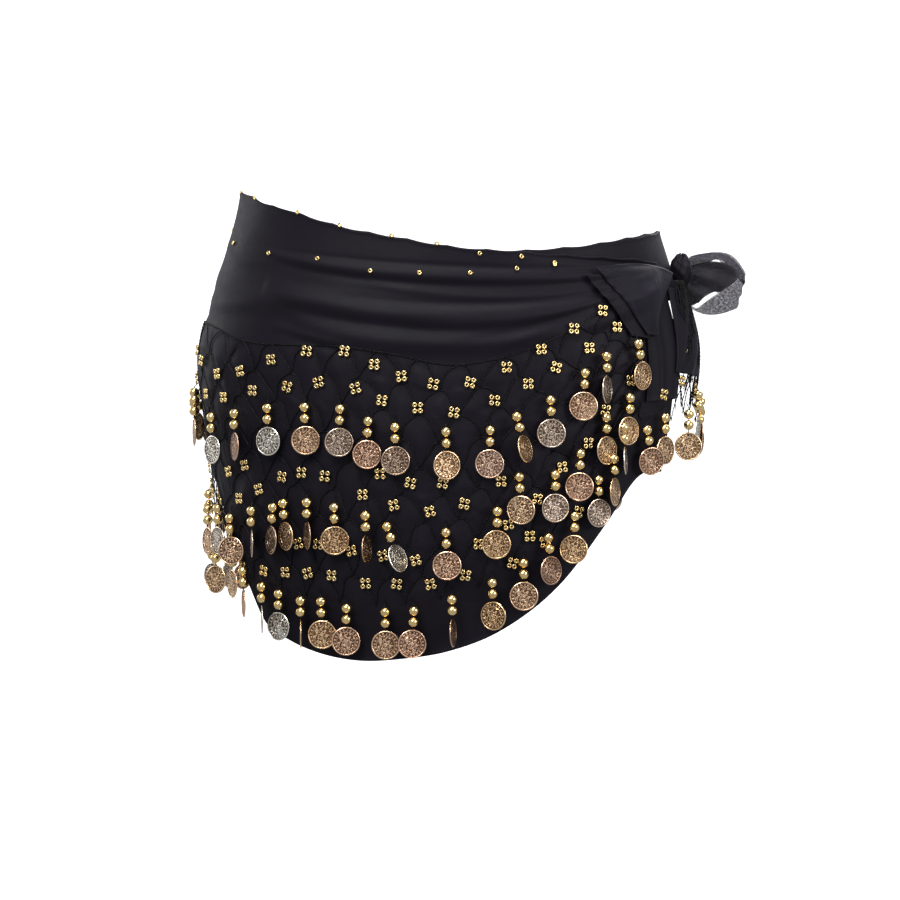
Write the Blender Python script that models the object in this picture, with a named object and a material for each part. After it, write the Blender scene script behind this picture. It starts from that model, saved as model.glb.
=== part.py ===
"""A belly dance hip scarf, worn low on the hips and tied at the wearer's left hip.

Every cloth piece is a wall on one form, a general figure's hips. A place on the form is a turn in
degrees round the upright axis (0 at the front centre, 90 at the wearer's left hip, on +X) and a
height. Pieces that lie over each other share the form and stand further out from it, layer by layer.
The origin is the centre of the waist opening, +Z is up and the front faces -Y.
"""

import math
from collections import namedtuple

import bpy
import numpy as np

MM = 0.001

# Cloth layers, as distances out from the form.
CLOTH = 1.2 * MM
NET = 1.0 * MM
FRINGE = 5.0 * MM
LAYER_GAP = 0.6 * MM
SEAM_GAP = 0.3 * MM
UNDER_LAYER = 0.0
WRAP_LAYER = UNDER_LAYER + CLOTH + LAYER_GAP
NET_LAYER = WRAP_LAYER + CLOTH + LAYER_GAP
TIE_LAYER = NET_LAYER + CLOTH + LAYER_GAP
FRINGE_LAYER = NET_LAYER + NET + LAYER_GAP
FLAP_LAYER = TIE_LAYER + CLOTH + LAYER_GAP

# Where pieces begin and end, in degrees round the form.
COLUMN_STEP = 6.0
LEFT_SEAM = -102.0
NET_END = 50.0
FRONT_EDGE = 66.0
UNDER_START = 18.0
BACK_EDGE = 114.0

# A coin drop: two beads above a coin, measured from the coin's centre.
DROP_ABOVE = 24 * MM
DROP_BELOW = 10.5 * MM
TIER_GAP = 1 * MM
SIDE_NET_TOP = -52 * MM
UNDER_DEPTH = 46 * MM

Ring = namedtuple("Ring", "height half_width front_depth back_depth")
Station = namedtuple("Station", "turn top band net_hem hem")
Tier = namedtuple("Tier", "turn upper middle lower")
Fold = namedtuple("Fold", "turn_a height_a turn_b height_b turn_c height_c reach rise")

# Level sections of the figure, in mm.
FIGURE = (
    Ring(-330, 131.0, 95, 99),
    Ring(-300, 138.0, 98, 102),
    Ring(-275, 145.0, 101, 106),
    Ring(-245, 152.5, 105, 112),
    Ring(-215, 157.5, 108, 117),
    Ring(-180, 161.0, 110, 121),
    Ring(-140, 167.0, 111, 122),
    Ring(-100, 170.0, 110, 118),
    Ring(-50, 157.5, 106, 107),
    Ring(0, 143.0, 101, 98),
    Ring(30, 138.5, 98, 94),
)

# Heights in mm of the top edge, the plain band's lower edge, the net's hem and the cloth's hem.
EDGES = (
    Station(-180, -27.0, -88, -233, -190),
    Station(-150, -17.0, -88, -234, -188),
    Station(-120, -2.0, -83, -236, -184),
    Station(-90, 11.5, -78, -240, -183),
    Station(-75, 10.5, -80, -244, -197),
    Station(-66, 7.0, -84, -251, -237),
    Station(-60, 3.5, -88, -254, -280),
    Station(-54, 0.5, -91, -258, -290),
    Station(-48, -2.0, -93, -261, -296),
    Station(-38, -8.0, -94, -264, -303),
    Station(-25, -16.0, -95, -268, -307),
    Station(-12, -22.0, -100, -268, -305),
    Station(0, -27.5, -107, -263, -300),
    Station(15, -30.5, -100, -246, -285),
    Station(30, -28.5, -82, -215, -255),
    Station(42, -25.5, -66, -165, -216),
    Station(52, -22.5, -65, -143, -186),
    Station(66, -18.5, -70, -138, -181),
    Station(90, -14.5, -76, -138, -179),
    Station(120, -17.5, -82, -160, -182),
    Station(150, -25.0, -87, -220, -189),
    Station(180, -27.0, -88, -233, -190),
)

# Heights in mm of the coins' centres along the three tiers.
TIERS = (
    Tier(-180, -150, -205, -258),
    Tier(-120, -153, -215, -260),
    Tier(-75, -158, -230, -262),
    Tier(-60, -165, -233, -280),
    Tier(-45, -160, -226, -289),
    Tier(-30, -158, -224, -292),
    Tier(-15, -168, -233, -295),
    Tier(0, -174, -240, -288),
    Tier(12, -171, -223, -276),
    Tier(22, -157, -207, -258),
    Tier(30, -140, -194, -239),
    Tier(38, -125, -173, -213),
    Tier(50, -115, -153, -190),
    Tier(90, -100, -135, -170),
    Tier(120, -118, -150, -174),
    Tier(150, -145, -194, -237),
    Tier(180, -150, -205, -258),
)

# The band's soft folds, which run from the left hip to the knot: three places along the crest in
# degrees and mm, then how far each side reaches and how high the crest stands, in mm.
FOLDS = (
    Fold(-70, -20, -8, -47, 60, -43, 5.0, 1.8),
    Fold(-50, -53, -8, -74, 62, -46, 7.0, 3.2),
    Fold(-38, -78, 0, -93, 60, -52, 6.5, 2.6),
    Fold(-96, -40, -60, -62, -20, -60, 8.0, 1.6),
)

# Pieces of the tie that lie on the front stretch, as corners in degrees and mm: two along the top,
# from left to right, then two along the bottom.
TIE_UNDER = ((51.5, -50), (65.5, -50), (51.5, -133), (65.5, -131))
TIE_FOLD = ((34.5, -47), (44.0, -46), (45.5, -88), (52.0, -90))
TIE_FLAP = ((37.5, -42), (71.0, -45), (50.0, -87), (54.5, -88))
TIE_TAIL = ((67.0, -57), (85.0, -57), (66.5, -113), (82.0, -116))
FLAP_PUFF = 4 * MM

KNOT_TURN = 84.0
KNOT_HEIGHT = -43 * MM
KNOT_RADIUS = 10 * MM
KNOT_STAND = 15 * MM
KNOT_RIDGE = 0.12

LOOP_ROOT = (163.5 * MM, 6 * MM, -44 * MM)
LOOP_DROOP = math.radians(16)
LOOP_LENGTH = 44 * MM
LOOP_SPREAD = 13 * MM
LOOP_ENDS = 0.13
LOOP_ROOT_HALF = 8 * MM
LOOP_BELLY_HALF = 15 * MM
LOOP_TIP_HALF = 5 * MM


def clear_scene():
    for obj in list(bpy.data.objects):
        bpy.data.objects.remove(obj, do_unlink=True)


def material(name, colour, roughness, metallic=0.0):
    made = bpy.data.materials.new(name)
    made.use_nodes = True
    shader = made.node_tree.nodes["Principled BSDF"]
    shader.inputs["Base Color"].default_value = (*colour, 1.0)
    shader.inputs["Roughness"].default_value = roughness
    shader.inputs["Metallic"].default_value = metallic
    return made


def smooth_curve(rows, column, at):
    """Reads a table's column as a smooth curve: cubic pieces whose slopes are the mean of their neighbours'."""
    knots = np.array([row[0] for row in rows], float)
    values = np.array([getattr(row, column) for row in rows], float)
    slopes = np.gradient(values, knots)
    at = np.clip(at, knots[0], knots[-1])
    index = np.clip(np.searchsorted(knots, at, side="right") - 1, 0, len(knots) - 2)
    span = knots[index + 1] - knots[index]
    part = (at - knots[index]) / span
    return (
        (2 * part**3 - 3 * part**2 + 1) * values[index]
        + (part**3 - 2 * part**2 + part) * span * slopes[index]
        + (3 * part**2 - 2 * part**3) * values[index + 1]
        + (part**3 - part**2) * span * slopes[index + 1]
    )


def edge(name, turns):
    """Height of one of the scarf's edge lines at these turns."""
    return smooth_curve(EDGES, name, (turns + 180) % 360 - 180) * MM


def tier(name, turns):
    """Height of one tier's coin centres at these turns."""
    return smooth_curve(TIERS, name, (turns + 180) % 360 - 180) * MM


def drape(turns, heights):
    """How far the band's folds lift the cloth: each crest is a parabola through its three places."""
    lift = np.zeros(np.broadcast(turns, heights).shape)
    turns = (turns + 180) % 360 - 180
    for fold in FOLDS:
        crest = np.polyfit(
            (fold.turn_a, fold.turn_b, fold.turn_c),
            (fold.height_a, fold.height_b, fold.height_c),
            2,
        )
        away = (heights / MM - np.polyval(crest, turns)) / fold.reach
        along = np.clip((turns - fold.turn_a) / (fold.turn_c - fold.turn_a), 0, 1)
        lift += fold.rise * MM * np.exp(-(away**2)) * np.sin(np.pi * along) ** 0.5
    return lift


def form(turns, heights, out):
    """Points on the figure at these turns and heights, moved out: ellipses with a fuller back."""
    angle = np.radians(turns)
    level = heights / MM
    width = smooth_curve(FIGURE, "half_width", level) * MM
    front = smooth_curve(FIGURE, "front_depth", level) * MM
    back = smooth_curve(FIGURE, "back_depth", level) * MM
    depth = np.where(np.cos(angle) > 0, front, back)
    return np.stack(
        np.broadcast_arrays((width + out) * np.sin(angle), -(depth + out) * np.cos(angle), heights),
        axis=-1,
    )


def closed_wall(name, inner, outer, finish):
    """Joins two grids of points into one closed wall. Rows run down and columns run round, seen from outside."""
    rows, cols = inner.shape[:2]
    index = np.arange(rows * cols).reshape(rows, cols)
    far = index + rows * cols
    faces = []
    for grid, outwards in ((far, True), (index, False)):
        quads = np.stack((grid[:-1, :-1], grid[1:, :-1], grid[1:, 1:], grid[:-1, 1:]), axis=-1)
        faces.append((quads if outwards else quads[..., ::-1]).reshape(-1, 4))
    ring = np.concatenate((index[0, :-1], index[:-1, -1], index[-1, :0:-1], index[:0:-1, 0]))
    after = np.roll(ring, -1)
    faces.append(np.stack((ring, ring + rows * cols, after + rows * cols, after), axis=-1))
    points = np.concatenate((inner.reshape(-1, 3), outer.reshape(-1, 3)))
    mesh = bpy.data.meshes.new(name)
    mesh.from_pydata(points.tolist(), [], np.concatenate(faces).tolist())
    mesh.materials.append(finish)
    mesh.shade_smooth()
    mesh.set_sharp_from_angle(angle=math.radians(40))
    mesh.validate()
    made = bpy.data.objects.new(name, mesh)
    bpy.context.scene.collection.objects.link(made)
    return made


def columns(start, end):
    """Turns of a piece's columns: its two ends, and between them the turns that all pieces share."""
    first = math.floor(start / COLUMN_STEP + 0.15) + 1
    last = math.ceil(end / COLUMN_STEP - 0.15) - 1
    return np.array([start, *(COLUMN_STEP * np.arange(first, last + 1)), end])


def between(upper, lower, count):
    """Heights of rows from one line down to another, evenly spaced."""
    return upper + (lower - upper) * np.linspace(0, 1, count + 1)[:, None]


def wall(name, turns, heights, layer, thickness, finish, draped=True):
    """A wall on the form between a layer's distance and that much more, over the folds of the band."""
    lift = layer + (drape(turns, heights) if draped else 0 * heights)
    inner = form(turns, heights, lift)
    outer = form(turns, heights, lift + thickness)
    return closed_wall(name, inner, outer, finish)


def front_top(turns):
    """The front stretch's top edge: the scarf's own, then a fold line that sinks to the knot over the other end."""
    sink = np.clip((turns - UNDER_START) / (FRONT_EDGE - UNDER_START), 0, 1)
    return edge("top", turns) - 19 * MM * np.sqrt(sink) * (0.35 + 0.65 * sink)


def half_seam(turn):
    """Half a seam's gap, in degrees, at the form's side."""
    return math.degrees(SEAM_GAP / 2 / (FIGURE[6].half_width * MM)) * (1 if turn > 0 else -1)


def build_wraps(finish):
    seam = half_seam(1)
    turns = columns(LEFT_SEAM + seam, FRONT_EDGE)
    band = between(front_top(turns), edge("band", turns), 8)
    apron = between(edge("band", turns), edge("hem", turns), 11)
    wall("wrap_front", turns, np.vstack((band, apron[1:])), WRAP_LAYER, CLOTH, finish)

    turns = columns(BACK_EDGE, 360 + LEFT_SEAM - seam)
    heights = between(edge("top", turns), edge("hem", turns), 13)
    wall("wrap_back", turns, heights, WRAP_LAYER, CLOTH, finish)

    turns = columns(UNDER_START, BACK_EDGE + 3)
    heights = between(edge("top", turns), edge("top", turns) - UNDER_DEPTH, 3)
    wall("under_wrap", turns, heights, UNDER_LAYER, CLOTH, finish, draped=False)


def build_nets(finish):
    seam = half_seam(1)
    turns = columns(LEFT_SEAM + seam, NET_END)
    heights = between(edge("band", turns), edge("net_hem", turns), 10)
    wall("net_front", turns, heights, NET_LAYER, NET, finish)

    turns = columns(BACK_EDGE + seam, 360 + LEFT_SEAM - seam)
    heights = between(edge("band", turns), edge("net_hem", turns), 9)
    wall("net_back", turns, heights, NET_LAYER, NET, finish)

    turns = columns(FRONT_EDGE + seam, BACK_EDGE - seam)
    heights = between(SIDE_NET_TOP + 0 * turns, edge("net_hem", turns), 5)
    wall("net_side", turns, heights, NET_LAYER, NET, finish)


def build_fringes(finish):
    """Each tier of coin drops is a plain wall of its reach, from its top beads to its coins' lower edges."""
    seam = half_seam(1)
    for name, above, front_end, back_start in (
        ("upper", None, 49.5, BACK_EDGE + 6),
        ("middle", "upper", 46.0, BACK_EDGE + 6),
        ("lower", "middle", 45.5, BACK_EDGE + 16),
    ):
        for side, start, end in (
            ("front", LEFT_SEAM + seam, front_end),
            ("back", back_start, 360 + LEFT_SEAM - seam),
        ):
            turns = columns(start, end)
            centre = tier(name, turns)
            highest = centre + DROP_ABOVE
            if above:
                highest = np.minimum(highest, tier(above, turns) - DROP_BELOW - TIER_GAP)
            heights = between(highest, centre - DROP_BELOW, 2)
            wall(f"fringe_{name}_{side}", turns, heights, FRINGE_LAYER, FRINGE, finish)
    turns = columns(52.0, 88.0)
    centre = between(-172 * MM, -152 * MM, len(turns) - 1)[:, 0]
    heights = between(centre + DROP_ABOVE, centre - DROP_BELOW, 2)
    wall("fringe_side", turns, heights, FRINGE_LAYER, FRINGE, finish)


def tie_piece(name, corners, across, down, layer, finish, puff=0.0):
    """A four-cornered piece on the form, fuller towards its middle."""
    top_left, top_right, low_left, low_right = np.array(corners)
    along = np.linspace(0, 1, across + 1)[None, :, None]
    drop = np.linspace(0, 1, down + 1)[:, None, None]
    place = (1 - drop) * ((1 - along) * top_left + along * top_right)
    place = place + drop * ((1 - along) * low_left + along * low_right)
    turns, heights = place[..., 0], place[..., 1] * MM
    full = np.sin(np.pi * along[..., 0]) * np.sin(np.pi * drop[..., 0])
    lift = layer + drape(turns, heights) + puff * full
    closed_wall(name, form(turns, heights, lift), form(turns, heights, lift + CLOTH), finish)


def build_tie(finish):
    tie_piece("tie_under", TIE_UNDER, 3, 6, NET_LAYER, finish)
    tie_piece("tie_fold", TIE_FOLD, 3, 6, TIE_LAYER, finish)
    tie_piece("tie_flap", TIE_FLAP, 8, 7, FLAP_LAYER, finish, FLAP_PUFF)
    tie_piece("tie_tail", TIE_TAIL, 2, 4, TIE_LAYER, finish)


def build_knot(finish):
    """A round lump whose skin turns in three soft ridges, as wound cloth does."""
    across = np.linspace(0, 2 * np.pi, 17)[:-1]
    down = np.linspace(0, np.pi, 10)[1:-1, None]
    reach = KNOT_RADIUS * (1 - KNOT_RIDGE + KNOT_RIDGE * np.cos(3 * across + 2 * down))
    body = np.stack(
        np.broadcast_arrays(
            reach * np.cos(across) * np.sin(down),
            reach * np.sin(across) * np.sin(down),
            1.15 * reach * np.cos(down),
        ),
        axis=-1,
    )
    rows, cols = body.shape[:2]
    tall = 1.15 * KNOT_RADIUS * (1 - KNOT_RIDGE)
    points = np.vstack((body.reshape(-1, 3), [(0, 0, tall)], [(0, 0, -tall)]))
    index = np.arange(rows * cols).reshape(rows, cols)
    beside = np.roll(index, -1, axis=1)
    faces = np.stack((index[:-1], index[1:], beside[1:], beside[:-1]), axis=-1).reshape(-1, 4).tolist()
    faces += [(rows * cols, a, b) for a, b in zip(index[0].tolist(), beside[0].tolist())]
    faces += [(rows * cols + 1, b, a) for a, b in zip(index[-1].tolist(), beside[-1].tolist())]
    mesh = bpy.data.meshes.new("knot")
    mesh.from_pydata(points.tolist(), [], faces)
    mesh.materials.append(finish)
    mesh.shade_smooth()
    made = bpy.data.objects.new("knot", mesh)
    made.location = form(np.array(KNOT_TURN), np.array(KNOT_HEIGHT), KNOT_STAND).tolist()
    bpy.context.scene.collection.objects.link(made)


def build_bow_loop(finish):
    """A strip that leaves the knot, turns round and comes back: a leaf in plan, widest half way out."""
    along = np.linspace(LOOP_ENDS, 1 - LOOP_ENDS, 25)
    reach = LOOP_LENGTH * np.sin(np.pi * along) ** 2
    spread = LOOP_SPREAD * np.sin(2 * np.pi * along) * np.sin(np.pi * along)
    half = (
        LOOP_ROOT_HALF
        + LOOP_BELLY_HALF * np.sin(2 * np.pi * along) ** 2
        + LOOP_TIP_HALF * np.sin(np.pi * along) ** 6
    )
    slope = np.gradient(np.stack((reach, spread)), axis=1)
    slope /= np.linalg.norm(slope, axis=0)
    side = np.linspace(1, -1, 7)[:, None]
    grids = []
    for out in (0.0, CLOTH):
        flat_reach = (reach - out * slope[1])[None, :] + 0 * side
        flat_spread = (spread + out * slope[0])[None, :] + 0 * side
        rise = side * half
        grids.append(
            np.stack(
                (
                    LOOP_ROOT[0] + flat_reach * math.cos(LOOP_DROOP) + rise * math.sin(LOOP_DROOP),
                    LOOP_ROOT[1] - flat_spread,
                    LOOP_ROOT[2] - flat_reach * math.sin(LOOP_DROOP) + rise * math.cos(LOOP_DROOP),
                ),
                axis=-1,
            )
        )
    closed_wall("bow_loop", grids[0], grids[1], finish)


def main():
    clear_scene()
    cloth = material("black_chiffon", (0.022, 0.019, 0.026), 0.62)
    net = material("black_net", (0.016, 0.014, 0.018), 0.8)
    drops = material("antique_gold", (0.72, 0.52, 0.27), 0.34, 1.0)
    build_wraps(cloth)
    build_nets(net)
    build_fringes(drops)
    build_tie(cloth)
    build_knot(cloth)
    build_bow_loop(cloth)


main()
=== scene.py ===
"""A belly dance hip scarf in black chiffon and net, hung with gold coin drops.

The file is laid out as an add-on: settings hold the sizes and colours that a maker would change, each
operator makes one piece or one group of like pieces, and the panel lists them. Every surface is worked
out on a form, a general figure's hips. A place on it is a turn in degrees round the upright axis
(0 at the front centre, 90 at the wearer's left hip) and a height in metres.
"""

import math
from collections import namedtuple

import bpy
import numpy as np
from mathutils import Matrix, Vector


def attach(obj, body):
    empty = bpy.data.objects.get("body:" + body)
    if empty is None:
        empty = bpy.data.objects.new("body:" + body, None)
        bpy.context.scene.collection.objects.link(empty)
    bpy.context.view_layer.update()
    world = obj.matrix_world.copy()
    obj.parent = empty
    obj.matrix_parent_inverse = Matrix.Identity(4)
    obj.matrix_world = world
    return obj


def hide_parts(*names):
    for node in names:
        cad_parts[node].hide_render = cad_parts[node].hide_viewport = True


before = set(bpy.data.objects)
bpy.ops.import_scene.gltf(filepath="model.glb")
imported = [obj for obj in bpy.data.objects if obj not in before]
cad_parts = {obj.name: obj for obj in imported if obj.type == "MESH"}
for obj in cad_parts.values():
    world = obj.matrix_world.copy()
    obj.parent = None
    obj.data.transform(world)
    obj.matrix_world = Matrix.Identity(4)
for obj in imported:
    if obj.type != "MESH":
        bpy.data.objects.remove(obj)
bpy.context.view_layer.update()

bl_info = {
    "name": "Coin Hip Scarf",
    "version": (1, 0, 0),
    "blender": (4, 5, 0),
    "location": "View3D > Sidebar > Hip Scarf",
    "description": "Makes a black chiffon hip scarf with a beaded net and coin drops",
    "category": "Object",
}

MM = 0.001
BODY = "root"

# Layers, as distances out from the form, the turns where pieces begin and end, and the height from which
# the net under the knot hangs.
UNDER_LAYER = 1.2 * MM
WRAP_LAYER = 3.0 * MM
NET_LAYER = 4.0 * MM
UNDER_TIE_LAYER = 4.8 * MM
FOLD_LAYER = 6.6 * MM
FLAP_LAYER = 8.4 * MM
LEFT_SEAM = -102.0
NET_END = 50.0
FRONT_EDGE = 66.0
UNDER_START = 18.0
BACK_EDGE = 114.0
UNDER_END = 117.0
SIDE_NET_TOP = -52 * MM

# How far the front stretch's fold line has sunk below the top edge when it reaches the knot, how far its
# free edge leans back towards the hem in degrees, and how deep the cloth dips between its top beads.
FRONT_SINK = 19 * MM
FRONT_LEAN = 2.4
BEAD_DIP = 0.9 * MM

Ring = namedtuple("Ring", "height half_width front_depth back_depth")
Station = namedtuple("Station", "turn top band net_hem hem")
Tier = namedtuple("Tier", "turn upper middle lower")
Fold = namedtuple("Fold", "turn_a height_a turn_b height_b turn_c height_c reach rise")
Drop = namedtuple("Drop", "turn height facing lean tone", defaults=(-1,))
Patch = namedtuple("Patch", "start end cells rows gathered")
Wrap = namedtuple("Wrap", "name start end gaps layer patch lies_on carries")
Slit = namedtuple("Slit", "reach half width")
Lot = namedtuple("Lot", "points faces places tones finish")
Lamp = namedtuple("Lamp", "name place size power")

# Level sections of the figure, in mm.
FIGURE = (
    Ring(-330, 131.0, 95, 99),
    Ring(-300, 138.0, 98, 102),
    Ring(-275, 145.0, 101, 106),
    Ring(-245, 152.5, 105, 112),
    Ring(-215, 157.5, 108, 117),
    Ring(-180, 161.0, 110, 121),
    Ring(-140, 167.0, 111, 122),
    Ring(-100, 170.0, 110, 118),
    Ring(-50, 157.5, 106, 107),
    Ring(0, 143.0, 101, 98),
    Ring(30, 138.5, 98, 94),
)

# Heights in mm of the top edge, the plain band's lower edge, the net's hem and the cloth's hem.
EDGES = (
    Station(-180, -27.0, -88, -233, -190),
    Station(-150, -17.0, -88, -234, -188),
    Station(-120, -2.0, -83, -236, -184),
    Station(-90, 11.5, -78, -240, -183),
    Station(-75, 10.5, -80, -244, -197),
    Station(-66, 7.0, -84, -251, -237),
    Station(-60, 3.5, -88, -254, -280),
    Station(-54, 0.5, -91, -258, -290),
    Station(-48, -2.0, -93, -261, -296),
    Station(-38, -8.0, -94, -264, -303),
    Station(-25, -16.0, -95, -268, -307),
    Station(-12, -22.0, -100, -268, -305),
    Station(0, -27.5, -107, -263, -300),
    Station(15, -30.5, -100, -246, -285),
    Station(30, -28.5, -82, -215, -255),
    Station(42, -25.5, -66, -165, -216),
    Station(52, -22.5, -65, -143, -186),
    Station(66, -18.5, -70, -138, -181),
    Station(90, -14.5, -76, -138, -179),
    Station(120, -17.5, -82, -160, -182),
    Station(150, -25.0, -87, -220, -189),
    Station(180, -27.0, -88, -233, -190),
)

# Heights in mm of the coins' centres along the three tiers.
TIERS = (
    Tier(-180, -150, -205, -258),
    Tier(-120, -153, -215, -260),
    Tier(-75, -158, -230, -262),
    Tier(-60, -165, -233, -280),
    Tier(-45, -160, -226, -289),
    Tier(-30, -158, -224, -292),
    Tier(-15, -168, -233, -295),
    Tier(0, -174, -240, -288),
    Tier(12, -171, -223, -276),
    Tier(22, -157, -207, -258),
    Tier(30, -140, -194, -239),
    Tier(38, -125, -173, -213),
    Tier(50, -115, -153, -190),
    Tier(90, -100, -135, -170),
    Tier(120, -118, -150, -174),
    Tier(150, -145, -194, -237),
    Tier(180, -150, -205, -258),
)

# Soft folds and creases: three places along a crest in degrees and mm, how far each side reaches and
# how high it stands, in mm. A negative rise is a trough. The first four are the large ones.
FOLDS = (
    Fold(-70, -20, -8, -47, 60, -43, 5.0, 1.8),
    Fold(-50, -53, -8, -74, 62, -46, 7.0, 3.2),
    Fold(-38, -78, 0, -93, 60, -52, 6.5, 2.6),
    Fold(-96, -40, -60, -62, -20, -60, 8.0, 1.6),
)
CREASES = (
    Fold(-78, -16, -10, -40, 62, -39, 1.7, -0.9),
    Fold(-64, -27, -6, -53, 58, -44, 2.2, -1.1),
    Fold(-20, -52, 8, -62, 57, -44, 2.6, 1.0),
    Fold(-30, -60, 5, -67, 60, -46, 2.4, -1.0),
    Fold(-44, -66, -22, -78, 10, -84, 2.8, -0.9),
    Fold(-45, -80, -34, -88, -22, -95, 2.4, 1.0),
    Fold(-42, -84, -32, -92, -22, -99, 2.0, -0.9),
    Fold(-10, -80, 14, -78, 52, -50, 3.0, 1.1),
    Fold(2, -93, 22, -80, 56, -52, 2.6, -1.0),
    Fold(8, -100, 28, -78, 58, -55, 2.6, 1.0),
    Fold(-88, -22, -70, -34, -46, -38, 4.0, 0.8),
    Fold(-92, -58, -74, -66, -50, -66, 4.0, 0.9),
    Fold(-98, -70, -84, -74, -66, -80, 3.0, -0.7),
    Fold(24, -30, 42, -33, 64, -36, 2.2, 0.9),
    Fold(20, -34, 40, -38, 64, -40, 1.6, -0.8),
    Fold(116, -34, 150, -46, 200, -50, 5.0, 1.7),
    Fold(115, -42, 165, -66, 236, -62, 6.5, 2.2),
    Fold(116, -48, 150, -76, 196, -84, 5.0, 1.5),
    Fold(118, -38, 170, -58, 228, -56, 2.2, -0.9),
    Fold(150, -30, 190, -34, 232, -26, 3.6, 0.9),
    Fold(190, -72, 214, -74, 246, -66, 4.0, 1.1),
)

# The coin drops that hang at the front: turn in degrees, height of the coin's centre in mm, the way
# the coin faces in degrees (0 straight ahead), how far the drop leans in degrees, with the coin to the
# right of its knot where it is positive, and the coin's tone, left to chance where none is given.
UPPER_DROPS = (
    Drop(-94, -150, -90, 0),
    Drop(-83, -155, -80, 0, 0.2),
    Drop(-69, -166, -53, 2, 0.8),
    Drop(-56.5, -163, -71, -1, 1),
    Drop(-44, -159, -31, 1, 0.8),
    Drop(-33, -158, -4, 2, 0.4),
    Drop(-24.5, -159, 5, -2, 0.93),
    Drop(-18, -167, -3, -2, 0.55),
    Drop(-11.5, -171, 6, 1, 0.97),
    Drop(0, -174, 22, 2, 0.25),
    Drop(9.5, -173, -4, -1, 0.6),
    Drop(17.5, -163, 64, 16, 0.2),
    Drop(23.5, -153, 5, 2, 0.92),
    Drop(31, -135, -3, -3, 0.45),
    Drop(37, -124, 69, 2, 0.9),
    Drop(47.5, -115, 50, 14, 0.15),
)
MIDDLE_DROPS = (
    Drop(-84, -231, -64, 3),
    Drop(-73.5, -229, -58, -2),
    Drop(-64.5, -235, -24, 2),
    Drop(-53.5, -229, -84, 0),
    Drop(-46, -226, -66, -6, 0.98),
    Drop(-41, -223, -57, 5, 0.25),
    Drop(-34.5, -222, -74, 0, 1),
    Drop(-27, -225, 4, 1, 0.1),
    Drop(-19, -230, 73, 2, 1),
    Drop(-11.5, -236, 56, 20, 0.8),
    Drop(0, -241, -3, 2, 0.5),
    Drop(11.5, -227, 5, -1, 0.1),
    Drop(17, -204, -15, 3, 0.3),
    Drop(25.5, -203, 18, 1, 0.92),
    Drop(31.5, -189, -8, -2, 0.55),
    Drop(38.5, -165, 44, 3, 0.2),
    Drop(44.5, -152, 42, -2),
)
LOWER_DROPS = (
    Drop(-78.5, -257, -40, 2),
    Drop(-68, -258, -66, -1),
    Drop(-63.5, -271, -80, 2),
    Drop(-55.5, -281, -85, 0),
    Drop(-49, -285, -38, -2, 0.8),
    Drop(-41, -289, -88, 0),
    Drop(-34, -289, -5, 2, 0.15),
    Drop(-27, -293, 3, -1, 0.5),
    Drop(-16, -295, -4, 1, 0.4),
    Drop(-9, -294, 10, -3, 0.55),
    Drop(1.5, -286, 78, 2),
    Drop(11.5, -275, -30, 2, 0.1),
    Drop(19, -262, 4, 1, 0.4),
    Drop(25.5, -245, 42, 6, 1),
    Drop(31, -231, -16, -2, 0.1),
    Drop(37.5, -207, 34, 2, 0.92),
    Drop(42, -193, 68, 3),
    Drop(44.5, -172, 82, 4),
)
SIDE_DROPS = (
    Drop(54, -173, 24, 16, 0.5),
    Drop(59.5, -166, 48, 4, 0.3),
    Drop(73.5, -164, 10, -3, 0.25),
    Drop(78, -151, 78, 2, 0.8),
    Drop(85, -161, 66, 3),
    Drop(88, -156, 96, -2),
)

# The bead clusters at the front, in rows from the top down: turns in degrees and heights in mm.
CLUSTER_ROWS = (
    ((-81.5, -98), (-75, -105), (-63.5, -114), (-53, -112), (-42.5, -104), (-32.5, -98), (-23, -98)),
    ((-16, -107), (-10, -115), (-3, -120), (5, -119), (13, -109), (21, -97), (29, -83), (37.5, -71)),
    ((-87, -118), (-72.5, -128), (-61, -130), (-49, -125), (-38, -122), (-29.5, -119), (-20.5, -123)),
    ((-14.5, -131), (-6.5, -136), (1.5, -139), (10.5, -131), (18, -120), (24.5, -109), (33, -96)),
    ((41.5, -82),),
    ((-84, -180), (-64, -181), (-55.5, -176), (-42, -183), (-36, -180), (-29.5, -182), (-15.5, -180)),
    ((-8.5, -186), (-1, -186), (12.5, -185), (27.5, -176), (38, -138), (45, -118)),
    ((-81, -197), (-59.5, -199), (-50.5, -192), (-20, -194), (-12.5, -201), (-4, -205), (4, -200)),
    ((14.5, -214), (21.5, -197), (20, -222), (34, -160), (-88, -209)),
    ((-67.5, -223), (-38.5, -228), (-32.5, -228), (-23.5, -232), (-15.5, -235), (-7.5, -238), (7.5, -227)),
    ((-52.5, -248), (-44, -248), (-36.5, -248), (-29.5, -249), (-20.5, -254), (-12.5, -254), (-4, -254)),
    ((4.5, -248), (16, -240), (24, -226), (32.5, -206), (-76, -233), (-62.5, -246)),
)
SIDE_CLUSTERS = ((58, -128), (67, -119), (80.5, -124), (89, -112), (68.5, -96), (78, -90), (93, -122))

# Single beads at the front: turns of those on the top edge, and places of those along the fold line.
TOP_BEAD_TURNS = (-79, -64.5, -43, -28.5, -14, -2.5)
LINE_BEADS = (
    (8, -33),
    (18.5, -35),
    (27, -39),
    (-95, -14),
    (-73.5, -24),
    (-50.5, -32),
    (-33.5, -36),
    (-18.5, -44.5),
    (-6.5, -46),
    (5.5, -46),
    (17, -43),
    (27, -40),
)

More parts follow.
